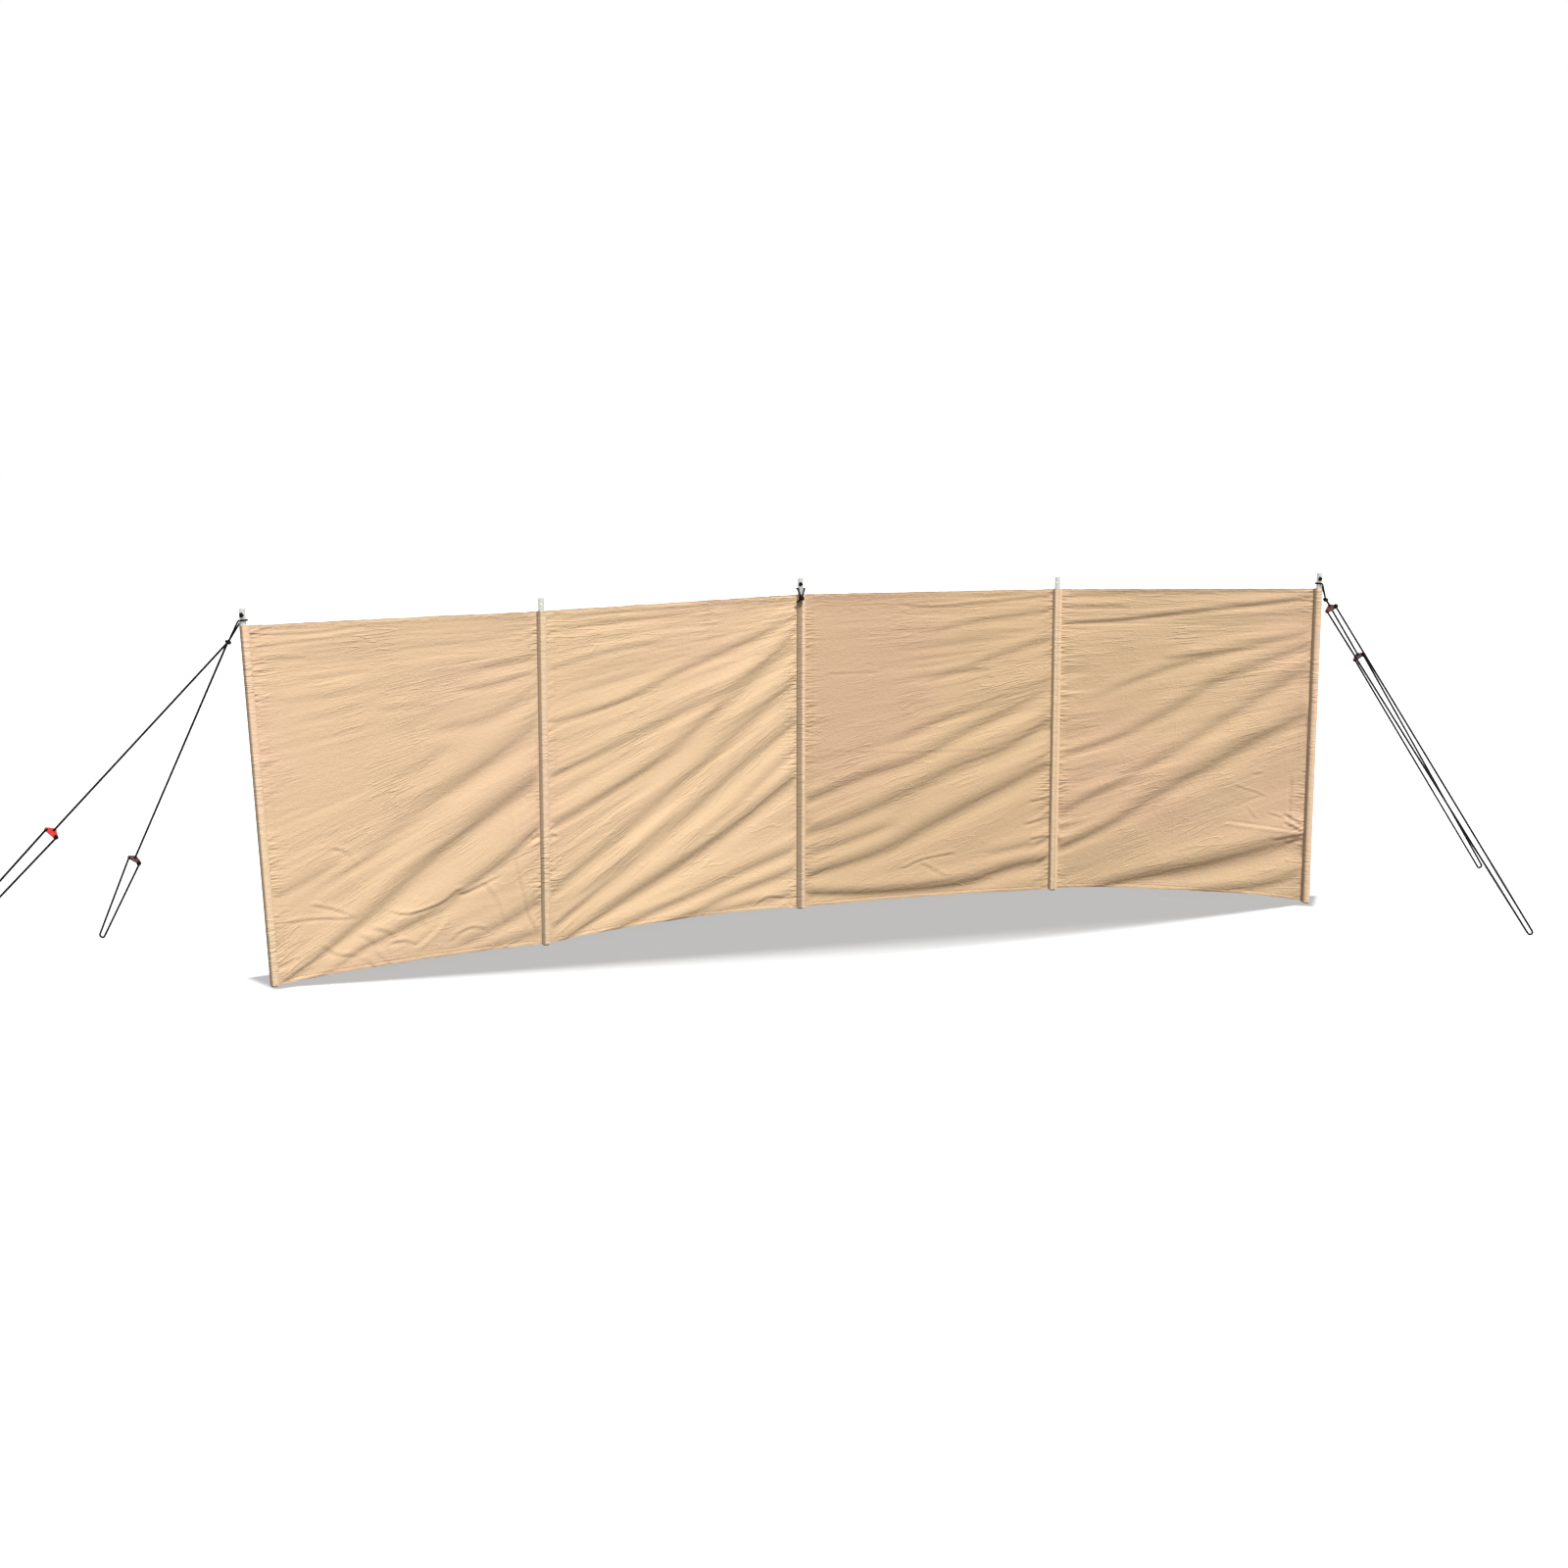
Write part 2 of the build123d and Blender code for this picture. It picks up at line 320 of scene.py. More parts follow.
corners = [(x * FLOOR_HALF, y * FLOOR_HALF, -FLOOR_DROP) for x, y in ((-1, -1), (1, -1), (1, 1), (-1, 1))]
floor = stage_mesh("floor", corners, [(0, 1, 2, 3)])
floor_paint, board = new_finish("floor")
seen = seen_directly(board)
dark, pale = (board.add("ShaderNodeBsdfDiffuse", None, {"Color": (grey, grey, grey, 1)})
              for grey in (FLOOR_BOUNCE, FLOOR_TONE))
glow = board.add("ShaderNodeEmission", None, {"Strength": FLOOR_GLOW})
lit = board.add("ShaderNodeAddShader", None, {0: pale, 1: glow})
both = board.add("ShaderNodeMixShader", None, {0: seen, 1: dark, 2: lit})
board.add("ShaderNodeOutputMaterial", None, {"Surface": both})
floor.data.materials.append(floor_paint)
print("the floor's glow is", FLOOR_GLOW)

# %% [markdown]
# A screen's hems stand a little off the ground, and a low light behind would
# shine under them. A flat flag lies at the foot of the cloth, just off the
# ground, and stops that light. No camera sees it.

# %% Hang the flag
FLAG_HEIGHT = 0.022
FLAG_REACH = (-0.014, 0.225)
FLAG_INSET = -0.09

feet = [on_axis(post, FLAG_HEIGHT) for post in range(POST_COUNT)]
feet[0] = feet[0] + bays[0].way * FLAG_INSET
feet[-1] = feet[-1] - bays[-1].way * FLAG_INSET
outward = [left.front + right.front for left, right in map(bays_beside, range(POST_COUNT))]
outward = [way / np.linalg.norm(way) for way in outward]
ribbon = [tuple(foot - way * reach) for foot, way in zip(feet, outward) for reach in FLAG_REACH]
flag = stage_mesh("flag", ribbon, [(2 * n, 2 * n + 1, 2 * n + 3, 2 * n + 2) for n in range(BAY_COUNT)])
for rays in ("camera", "diffuse", "glossy", "transmission"):
    setattr(flag, f"visible_{rays}", False)
print("the flag is", round(FLAG_REACH[1] - FLAG_REACH[0], 3), "m deep")

# %% [markdown]
# Outdoors a screen like this is lit by the whole sky, and a pale world stands in
# for it. The key sun is high and to the right, and rakes down the cloth, so that
# each fold shows. Another lights the back. Both leave out the floor by light
# linking. Two low suns, from the left and from the right along the line
# between the end posts, light the floor alone, and pass by the slim guys. Where
# their two shadows meet lies the soft band that fills the hollow of the row.

# %% Add the suns
KEY_SUN = dict(toward=(0.272, -0.472, 0.839), strength=3.9, spread=14)
BACK_SUN = dict(toward=(0.08, 0.60, 0.80), strength=1.8, spread=20)
FLOOR_SUNS = [dict(toward=(-0.963, -0.268, 0.275), strength=50.0, spread=7),
              dict(toward=(0.855, 0.518, 0.290), strength=50.0, spread=8)]


def light_group(name, thing, state):
    """A collection that says whether a lamp works on one thing or leaves it out."""
    group = bpy.data.collections.new(name)
    group.objects.link(thing)
    group.collection_objects[0].light_linking.link_state = state
    return group


slim_things = bpy.data.collections.new("slim things")


def let_floor_light_pass(thing):
    """Cord is so slim that it leaves no shadow on a bright floor."""
    slim_things.objects.link(thing)
    for entry in slim_things.collection_objects:
        entry.light_linking.link_state = "EXCLUDE"


def add_sun(name, toward, strength, spread, for_floor):
    lamp = bpy.data.lights.new(name, "SUN")
    lamp.energy = strength
    lamp.angle = radians(spread)
    holder = bpy.data.objects.new(name, lamp)
    holder.rotation_euler = Vector(toward).to_track_quat("Z", "Y").to_euler()
    scene.collection.objects.link(holder)
    linking = holder.light_linking
    linking.receiver_collection = light_group(name + " lights", floor, "INCLUDE" if for_floor else "EXCLUDE")
    linking.blocker_collection = slim_things if for_floor else light_group(name + " passes", flag, "EXCLUDE")


add_sun("key sun", for_floor=False, **KEY_SUN)
add_sun("back sun", for_floor=False, **BACK_SUN)
for number, sun in enumerate(FLOOR_SUNS):
    add_sun(f"floor sun {number + 1}", for_floor=True, **sun)
print("key sun", KEY_SUN["strength"], "back sun", BACK_SUN["strength"])

# %% Add the sky
SKY = 0.51

world = bpy.data.worlds.new("studio")
world.use_nodes = True
scene.world = world
board = Board(world.node_tree)
strength = seen_directly(board) * (1 - SKY) + SKY
backdrop = board.add("ShaderNodeBackground", None, {"Color": (1, 1, 1, 1), "Strength": strength})
board.add("ShaderNodeOutputWorld", None, {"Surface": backdrop})
scene.view_settings.view_transform = "Standard"
print("the sky lights the scene at", SKY)

# %% [markdown]
# The cloth is pulled across its bays, so it falls into long soft folds, with
# finer ripples between them and short puckers at every seam. A cloth solver
# could find folds like these, but not these very ones. So the surface is a height
# field: a sum of folds that are listed one by one and of seeded noise that runs
# the way the folds run. The noise is the same on each run.

# %% Seeded noise
NOISE_CELLS = 64


def ease(share):
    share = np.clip(share, 0, 1)
    return share * share * (3 - 2 * share)


def noise(x, y, seed):
    """Smooth noise from -1 to 1, with features about one unit across."""
    table = np.random.default_rng(seed).uniform(-1, 1, (NOISE_CELLS, NOISE_CELLS))
    left, low = np.floor(x).astype(int), np.floor(y).astype(int)
    across, upward = ease(x - left), ease(y - low)

    def level(step):
        row = (low + step) % NOISE_CELLS
        near, far = (table[row, (left + side) % NOISE_CELLS] for side in (0, 1))
        return near + (far - near) * across

    return level(0) + (level(1) - level(0)) * upward


tries = noise(np.linspace(0, 9, 200), np.linspace(0, 7, 200), 1)
print("the noise runs from", round(float(tries.min()), 2), "to", round(float(tries.max()), 2))

# %% [markdown]
# A fold here is a ridge with a valley right below it, along a smooth line. It is
# narrow where the pull starts and widens from there. Seen from the front only the
# steep step between ridge and valley turns away from the light, so that step is
# what draws the fold. A short sharper part in its middle keeps it from looking
# like a soft wave.

# %% Lines on the cloth
LINE_STEPS = 10


def smooth_line(points):
    """Points along a curve that passes through the given ones."""
    points = np.array(points)
    ends = np.vstack([2 * points[0] - points[1], points, 2 * points[-1] - points[-2]])
    shares = np.linspace(0, 1, LINE_STEPS, endpoint=False)[:, None]
    out = []
    for a, b, c, d in zip(ends, ends[1:], ends[2:], ends[3:]):
        out.append(b + shares * (c - a) / 2 + shares ** 2 * (a - 2.5 * b + 2 * c - d / 2)
                   + shares ** 3 * (1.5 * b - 1.5 * c + (d - a) / 2))
    return np.vstack([*out, points[-1:]])


def from_line(line, x, y):
    """How far each place lies to the left of a line, and its share of the way along it."""
    steps = np.diff(line, axis=0)
    lengths = np.linalg.norm(steps, axis=1)
    starts = np.concatenate([[0], np.cumsum(lengths)])
    best = np.full(np.shape(x), np.inf)
    side, along = np.zeros(np.shape(x)), np.zeros(np.shape(x))
    for start, step, length, before in zip(line, steps / lengths[:, None], lengths, starts):
        dx, dy = x - start[0], y - start[1]
        run = np.clip(dx * step[0] + dy * step[1], 0, length)
        away = np.hypot(dx - run * step[0], dy - run * step[1])
        nearer = away < best
        best = np.where(nearer, away, best)
        side = np.where(nearer, np.sign(step[0] * dy - step[1] * dx), side)
        along = np.where(nearer, (before + run) / starts[-1], along)
    return best * side, along


# %% A fold along a line
RIDGE_STRETCH = 1.25
FOLD_PEAK = 1.40
CORE_PEAK = 0.09
CORE_STEEPNESS = 5
FOLD_WIDENING = 1.6


def fold(x, y, line, rise, narrow, wide, fade):
    """A ridge above a line and a valley below it, so that the step between them turns down."""
    away, along = from_line(line, x, y)
    width = narrow + (wide - narrow) * ease(along * FOLD_WIDENING)
    reach = away / width
    reach = np.where(reach > 0, reach / RIDGE_STRETCH, reach)
    core = CORE_PEAK * np.tanh(CORE_STEEPNESS * reach) * np.exp(-reach * reach)
    shape = FOLD_PEAK * reach * np.exp(-reach * reach / 2) + core
    start = ease(along / fade[0]) if fade[0] else 1.0
    end = ease((1 - along) / fade[1]) if fade[1] else 1.0
    return rise * shape * start * end * width / max(wide, narrow)


# %% [markdown]
# Each fold is a few points in shares of the bay, from left to right, with how
# high it stands and how wide it is at its two ends, in millimetres. The folds of
# a bay fan out of its lower left corner, where the pull is strongest, and flatten
# towards the top edge.

# %% The folds of each bay
FOLDS = {
    0: [
        ([(0, -.012), (.10, .041), (.21, .096), (.38, .187), (.565, .295), (.80, .422), (1, .52)],
         9.4, 12, 37),
        ([(.10, -.008), (.214, .03), (.322, .075), (.42, .103), (.60, .161), (.85, .28), (1, .375)],
         6.3, 11, 26),
        ([(.24, .29), (.50, .42), (.74, .54), (1, .68)], 5.2, 24, 32),
        ([(.02, .25), (.15, .29), (.28, .335)], 2.7, 17, 22),
        ([(.62, .035), (.75, .062), (.88, .105), (1, .155)], 4.2, 17, 24),
        ([(.68, .02), (.85, .03), (1, .052)], 3.1, 13, 18),
        ([(.44, .54), (.56, .58), (.68, .64)], 2.7, 19, 24),
        ([(.55, .655), (.67, .68), (.80, .70), (1, .77)], 3.4, 17, 23),
        ([(.66, .785), (.80, .79), (1, .825)], 2.3, 12, 14),
        ([(.75, .84), (1, .865)], 2.3, 11, 13),
        ([(.40, .74), (.60, .752)], 1.5, 13, 14),
    ],
    1: [
        ([(0, -.022), (.10, .023), (.25, .089), (.46, .174), (.67, .268), (.86, .364), (1, .44)],
         9.9, 12, 30),
        ([(0, .04), (.26, .18), (.52, .33), (.77, .49), (1, .62)], 7, 12, 29),
        ([(0, .15), (.23, .28), (.51, .44), (.81, .63), (1, .75)], 7, 17, 30),
        ([(0, .35), (.24, .44), (.46, .54), (.69, .68), (1, .86)], 6.1, 19, 27),
        ([(0, .50), (.26, .58), (.50, .66), (.76, .75), (1, .90)], 4.7, 17, 22),
        ([(0, .66), (.28, .71), (.52, .79), (.79, .87), (1, .94)], 3.5, 13, 17),
        ([(0, .82), (.28, .87), (.50, .885)], 2.3, 11, 13),
        ([(.10, -.02), (.46, .07), (.73, .14), (1, .205)], 5.8, 12, 23),
        ([(.26, 0), (.52, .03), (.73, .08), (1, .135)], 4.9, 12, 21),
        ([(.34, .005), (.65, .03), (1, .052)], 3.5, 11, 16),
        ([(.05, .10), (.30, .235), (.55, .38)], 3.5, 11, 16),
        ([(.45, .22), (.70, .34), (1, .53)], 4, 16, 21),
    ],
    2: [
        ([(0, .05), (.25, .038), (.49, .039), (.66, .052), (.815, .087), (1, .112)], 8.1, 17, 26),
        ([(0, .10), (.31, .17), (.49, .24), (.72, .33), (1, .44)], 8.8, 18, 34),
        ([(0, .24), (.17, .28), (.39, .35), (.60, .43), (.81, .49), (1, .59)], 7.8, 21, 33),
        ([(0, .34), (.25, .42), (.43, .46), (.68, .56), (1, .685)], 6.2, 18, 28),
        ([(.30, .51), (.62, .61), (1, .715)], 4.3, 17, 23),
        ([(.46, .71), (.62, .74), (.75, .745)], 2.4, 12, 15),
        ([(.62, .755), (1, .845)], 3, 12, 17),
        ([(.45, .865), (.67, .90), (1, .935)], 2.6, 11, 15),
        ([(.70, .135), (1, .175)], 3.5, 14, 19),
        ([(.0, .17), (.20, .215), (.40, .27)], 3.2, 15, 19),
    ],
    3: [
        ([(.03, -.02), (.22, .03), (.41, .073), (.60, .114), (.76, .156), (.88, .19), (1, .222)], 12, 13, 36),
        ([(0, .135), (.216, .229), (.44, .354), (.59, .427), (.74, .509), (1, .632)], 10, 18, 31),
        ([(0, .25), (.27, .38), (.48, .49), (.64, .58), (1, .785)], 5.2, 16, 24),
        ([(0, .44), (.27, .53), (.48, .63), (.64, .72), (1, .845)], 5.2, 16, 23),
        ([(.10, .63), (.47, .76), (1, .885)], 3.8, 13, 18),
        ([(0, .885), (.25, .902), (.50, .931), (.82, .967), (1, .99)], 4, 8.5, 11),
        ([(0, .94), (.30, .95)], 2.2, 8.5, 9.7),
        ([(.40, .775), (.62, .80)], 2, 11, 12),
        ([(.50, .02), (.75, .04), (1, .10)], 5, 14, 22),
    ],
}
print("folds:", {number + 1: len(FOLDS[number]) for number in FOLDS})

# %% [markdown]
# A crease is a narrow fold that was pressed in by packing. It is a few points in
# shares of the bay too, with its height and its one width in millimetres. Some
# are the short hard gathers that run into a seam.

# %% The creases of each bay
CREASES = {
    0: [
        ([(.39, .178), (.475, .151), (.60, .169), (.672, .203), (.696, .189), (.85, .232)], 2.2, 6),
        ([(.22, .365), (.28, .35), (.31, .31), (.32, .27)], 1.6, 6),
        ([(.14, .215), (.23, .19), (.30, .158)], 1.6, 6),
        ([(.03, .172), (.16, .172), (.30, .158)], 1.5, 6),
        ([(.633, .152), (.598, .102), (.50, .045)], 2.0, 7),
        ([(.88, .42), (.885, .303), (.894, .247), (.911, .177), (.932, .101), (.972, .029)], 2.2, 8),
        ([(.34, .065), (.43, .0)], 1.4, 6),
        ([(.31, .045), (.37, .0)], 1.4, 6),
        ([(.01, .972), (.21, .97), (.38, .98)], 1.0, 6),
        ([(.01, .938), (.23, .95), (.38, .96)], 1.0, 6),
        ([(.01, .91), (.20, .902)], 0.9, 6),
        ([(.95, .322), (1, .333)], 2.6, 6),
        ([(.30, .115), (.35, .085), (.37, .04)], 1.8, 8),
        ([(.35, .125), (.41, .105), (.45, .06)], 1.8, 8),
        ([(.40, .07), (.46, .075), (.52, .055)], 1.5, 7),
        ([(.50, .20), (.53, .13), (.55, .10)], 1.5, 8),
        ([(.62, .05), (.70, .085), (.78, .075)], 1.6, 7),
        ([(.76, .22), (.81, .16), (.84, .08)], 1.5, 9),
        ([(.17, .10), (.22, .065), (.30, .05)], 1.4, 7),
    ],
    1: [
        ([(.80, .02), (.86, .05), (.94, .04)], 1.4, 6),
        ([(0, .335), (.05, .325)], 2.6, 6),
        ([(.02, .94), (.28, .95), (.63, .97)], 1.1, 7),
        ([(.02, .97), (.32, .98), (.64, .985)], 0.9, 6),
    ],
    2: [
        ([(.38, .10), (.47, .13), (.62, .15)], 1.8, 6),
        ([(.47, .122), (.57, .07)], 1.6, 6),
        ([(.02, .51), (.43, .485), (.81, .48)], 0.4, 6),
        ([(.09, .75), (.31, .75)], 0.8, 6),
        ([(.34, .975), (.48, .952), (.71, .96), (1, .98)], 1.2, 7),
        ([(.90, .30), (1, .315)], 2.2, 7),
        ([(.88, .225), (1, .25)], 2.4, 7),
        ([(.90, .175), (1, .19)], 2.0, 7),
    ],
    3: [
        ([(.70, .375), (.81, .348), (.83, .335)], 1.0, 5),
        ([(.71, .30), (.77, .33), (.82, .345)], 1.1, 5),
        ([(.75, .31), (.80, .265)], 1.0, 5),
        ([(.84, .288), (.90, .275)], 1.1, 5),
        ([(.77, .41), (.82, .42)], 1.2, 6),
        ([(1, .236), (.957, .231), (.828, .241), (.66, .252)], 1.3, 6),
        ([(.86, .20), (.93, .215), (1, .228)], 2.2, 7),
        ([(.90, .29), (.96, .262), (1, .232)], 2.0, 7),
        ([(.93, .42), (.925, .24)], 1.2, 8),
        ([(.91, .192), (.955, .205), (1, .219)], 2.6, 7),
        ([(.90, .262), (.95, .245), (1, .226)], 2.2, 7),
    ],
}
print("creases:", {number + 1: len(CREASES[number]) for number in CREASES})

# %% [markdown]
# Ripples follow the folds, so their noise is laid out along lines of flow. From
# the left post each line climbs to the right, less and less towards the top edge,
# and below the lowest of them the lines turn about the lower left corner.

# %% The flow and the ripples
CLOTH_HEIGHT = 1.39
CLIMBS = (0.62, 0.84, 0.48, 0.52)
CORNER_FLOW = 0.5
RIPPLES = ((0.100, 0.80, 2.0), (0.042, 0.45, 1.9), (0.019, 0.26, 0.70), (0.0095, 0.16, 0.26))
PATCH_WIDTH, PATCH_HEIGHT = 0.33, 0.27
EDGE_REACH = 0.16


def bay_seed(bay):
    return 100 * (bay.number + 1)


def from_edge(bay, x):
    """How far a place is from the nearer of its bay's two posts."""
    return np.minimum(x, bay.span - x)


def flow(bay, x, y):
    """The height at the left post of the flow line through each place."""
    climb = CLIMBS[bay.number]
    share = x / bay.span
    high = (y - climb * share) / (1 - climb / CLOTH_HEIGHT * share)
    steepest = np.arctan2(climb, bay.span)
    low = (np.arctan2(y, np.maximum(x, 0.001)) - steepest) * CORNER_FLOW
    return np.where(high > 0, high, low)


def ripples(bay, x, y):
    """Four sizes of ripple. The finer ones come in patches and are stronger near the posts."""
    level = flow(bay, x, y)
    seed = bay_seed(bay)
    patches = 0.60 + 0.65 * noise(x / PATCH_WIDTH, y / PATCH_HEIGHT, seed + 9)
    total = np.zeros(np.shape(x))
    for step, (across, along, rise) in enumerate(RIPPLES):
        share = np.clip(patches, 0.15, 1) if step else 1.0
        near = 1 + 1.0 * np.exp(-from_edge(bay, x) / EDGE_REACH) if step > 1 else 1.0
        total += noise(x / along + 3.3 * step, level / across, seed + step) * rise * share * near
    return total / 1000


tries = ripples(bays[1], *np.meshgrid(np.linspace(0.1, 1.1, 50), np.linspace(0.1, 1.3, 50)))
print("the ripples of bay 2 stand up to", round(float(tries.max()) * 1000, 1), "mm")

# %% [markdown]
# Two more things crease the cloth. Its top edge is drawn tight between the posts,
# which gives long, nearly level wrinkles under it. Its sides are gathered into the
# seams of the tunnels, which gives short puckers, much stronger at a few spots.

# %% Wrinkles under the top edge
TOP_REACH = 0.42
TOP_COUNT, TOP_SPREAD = 20, 6.25


def top_wrinkles(bay, x, y):
    """Long, nearly level wrinkles under the top edge. They lie further apart lower down."""
    under = bay.edges(x)[1] - y
    seed = bay_seed(bay) + 20
    slow = np.clip(under + 0.014 * noise(x / 0.30, y * 0, seed + 1), 0, None)
    count = TOP_COUNT * np.log(1 + TOP_SPREAD * slow)
    band = ease(1 - under / TOP_REACH) * (0.62 + 0.45 * noise(x / 0.35, y / 0.12, seed))
    wrinkles = noise(x / 0.46, count, seed + 2) + 0.5 * noise(x / 0.15, count * 1.9, seed + 3)
    return wrinkles * band * (0.55 + 3.0 * np.clip(under, 0, 0.4)) / 1000


tries = top_wrinkles(bays[1], *np.meshgrid(np.linspace(0.1, 1.1, 50), np.linspace(0.9, 1.3, 50)))
print("the wrinkles under the top of bay 2 stand up to", round(float(tries.max()) * 1000, 1), "mm")

# %% Puckers at the seams
SEAM = 0.021
SEAM_START = 0.004
PUCKERS = ((0.022, 0.16, 2.4, 0.070), (0.0085, 0.07, 2.2, 0.034))
PUCKER_SLOPES = (0.30, -0.50)
PUCKER_PATCH = 0.13
GATHERS = ((0, 0, 0.94, 0.07, 1.0), (0, 1, 0.33, 0.03, 2.0), (1, 0, 0.33, 0.03, 2.0), (1, 1, 0.84, 0.14, 0.9),
           (2, 1, 0.20, 0.13, 2.2), (3, 0, 0.20, 0.12, 1.3), (3, 1, 0.22, 0.05, 3.0), (3, 1, 0.85, 0.10, 0.6))


def gathered(bay, side, y):
    """How much stronger the puckers are at each height of one side of a bay."""
    strong = 1.0
    for number, edge, up, spread, more in GATHERS:
        if (number, edge) == (bay.number, side):
            strong = strong + more * np.exp(-((y / CLOTH_HEIGHT - up) / spread) ** 2)
    return strong


def puckers(bay, x, y):
    """Short gathers where the cloth is caught in the tunnels' seams, stronger at some spots."""
    total = np.zeros(np.shape(x))
    for side, slope in enumerate(PUCKER_SLOPES):
        strong = gathered(bay, side, y)
        reach = np.clip((bay.span - x if side else x) - SEAM, 0, None)
        for step, (across, along, rise, fade) in enumerate(PUCKERS):
            seed = bay_seed(bay) + 40 + 10 * side + step
            uneven = 0.60 + 0.6 * noise(y * 0, y / PUCKER_PATCH, seed + 5)
            start = 1 - np.exp(-reach / SEAM_START)
            gather = noise(reach / along, (y - slope * reach) / across, seed)
            total += gather * rise * uneven * strong * start * np.exp(-reach / fade)
    return total / 1000


tries = puckers(bays[1], *np.meshgrid(np.linspace(0.02, 0.1, 50), np.linspace(0.1, 1.3, 200)))
print("the puckers at the left seam of bay 2 stand up to", round(float(tries.max()) * 1000, 1), "mm")

# %% The whole relief
FOLD_RISES = (0.00107, 0.00102, 0.00105, 0.00098)
FOLD_WIDTH = 0.00118
FOLD_FADE = 0.25
AT_POST = 0.05
CREASE_RISE = 0.00120
CREASE_FADE = (0.15, 0.15)
BELLIES = (0.014, 0.018, 0.010, 0.016)
BELLY_SHARE = -0.6
CALMS = ((2, 0.14, 0.72, 0.24, 0.22), (3, 0.28, 0.72, 0.13, 0.13))
CALM_DEPTH = 0.8
POST_EASE = 0.018


def calmed(bay, share, up):
    """1 where the cloth ripples as usual, and less in the patches that lie nearly flat."""
    calm = 1.0
    for number, middle, level, wide, tall in CALMS:
        if number == bay.number:
            calm = calm - CALM_DEPTH * np.exp(-((share - middle) / wide) ** 4 - ((up - level) / tall) ** 4)
    return calm


def relief(bay, x, y):
    """How far the cloth stands to the front of the plane of its posts, in metres."""
    x, y = np.broadcast_arrays(x, y)
    low, high = bay.edges(x)
    share, up = x / bay.span, np.clip((y - low) / (high - low), 0, 1)
    total = BELLY_SHARE * BELLIES[bay.number] * 4 * share * (1 - share) * np.sin(pi * up)
    size = np.array([bay.span, CLOTH_HEIGHT])
    raised = FOLD_RISES[bay.number]
    for points, rise, narrow, wide in FOLDS[bay.number]:
        line = smooth_line(np.array(points) * size)
        start = 0.0 if points[0][0] < AT_POST else FOLD_FADE
        end = 0.0 if points[-1][0] > 1 - AT_POST else FOLD_FADE
        total = total + fold(x, y, line, rise * raised, narrow * FOLD_WIDTH, wide * FOLD_WIDTH, (start, end))
    for points, rise, width in CREASES[bay.number]:
        line = smooth_line(np.array(points) * size)
        total = total + fold(x, y, line, rise * CREASE_RISE, width / 1000, width / 1000, CREASE_FADE)
    total = total + (ripples(bay, x, y) + top_wrinkles(bay, x, y)) * calmed(bay, share, up)
    edge = np.clip(from_edge(bay, x) - SEAM, 0, None)
    return total * (1 - np.exp(-edge / POST_EASE)) + puckers(bay, x, y)


tries = relief(bays[0], np.linspace(0.1, 1.1, 50)[None, :], np.linspace(0.1, 1.3, 50)[:, None])
print("bay 1 stands from", round(float(tries.min()), 4), "to", round(float(tries.max()), 4))

# %% [markdown]
# The cotton is a plain weave. Its colour hardly changes, but threads of uneven
# thickness streak it, and rubbed patches are a little paler. The threads, the
# crumples and the pressed creases are bump. They are read from three UV maps: one
# in metres, for the threads, one in shares of the bay, for the creases and seams,
# and one along the flow of the folds, for fine wrinkles. A texture image could do
# the same, but nodes keep their scale at any distance.

# %% Noise and lines in a material
def axis_of(board, vector, name):
    return board.add("ShaderNodeSeparateXYZ", None, {0: vector}, output=name)


def uv_map(board, name):
    return board.add("ShaderNodeUVMap", {"uv_map": name})


def place_on_piece(board):
    return board.add("ShaderNodeTexCoord", output="Object")


def stretched_noise(board, where, scales, detail=2.0):
    moved = board.add("ShaderNodeVectorMath", {"operation": "MULTIPLY"}, {0: where, 1: scales})
    return board.add("ShaderNodeTexNoise", None, {"Vector": moved, "Scale": 1.0, "Detail": detail})


def thin_lines(board, where, scales, width):
    """1 along the wandering lines where a noise passes its middle, falling to 0 beside them."""
    away = abs(stretched_noise(board, where, scales, 1.0) - 0.5)
    return (1 - away / width).at_least(0)


def from_0_to_1(mask):
    return mask.at_least(0).at_most(1)


# %% Threads and crumples
THREAD = 0.0011
WEAVE_RISE = 0.00008
SLUB_RISE = 0.00026
CRUMPLE_RISE = 0.0013
FINE_RISE = 0.0011
WRINKLE_RISE = {"flat": 0.0018, "round": 0.0032}
SHARP_RISE = 0.0009


def cloth_height(board, slubs, place, form):
    """The bump that all of the cotton has: its weave, its uneven threads and its wrinkles."""
    metres, along = uv_map(board, "metres"), uv_map(board, "flow")
    across, up = axis_of(board, metres, "X"), axis_of(board, metres, "Y")
    weave = (across * (pi / THREAD)).sine() * (up * (pi / THREAD)).sine()
    worn = ((stretched_noise(board, place, (4.1, 4.1, 4.1), 1.0) - 0.36) * 5).at_least(0.15)
    crumple = stretched_noise(board, place, (52, 52, 52), 4.0)
    wrinkle = stretched_noise(board, along, (11, 95, 1), 3.0)
    sharp = thin_lines(board, along, (3.6, 30, 1), 0.03) + thin_lines(board, place, (13, 13, 13), 0.012) * 0.4
    fine = stretched_noise(board, metres, (95, 210, 1), 2.0)
    height = weave * WEAVE_RISE + slubs * SLUB_RISE + crumple * CRUMPLE_RISE + fine * FINE_RISE
    return height + (wrinkle * WRINKLE_RISE[form] + sharp * SHARP_RISE) * worn


# %% Seams and pressed lines
GATHER_NEARNESS = 9
GATHER_RISE = 0.0150
PRESS_LINES = (("X", 0.475, 0.0022), ("Y", 0.485, 0.0016), ("X", 0.28, 0.0014), ("X", 0.53, 0.0016))
PRESS_WANDER = 0.006
PRESS_RISE = 0.0004


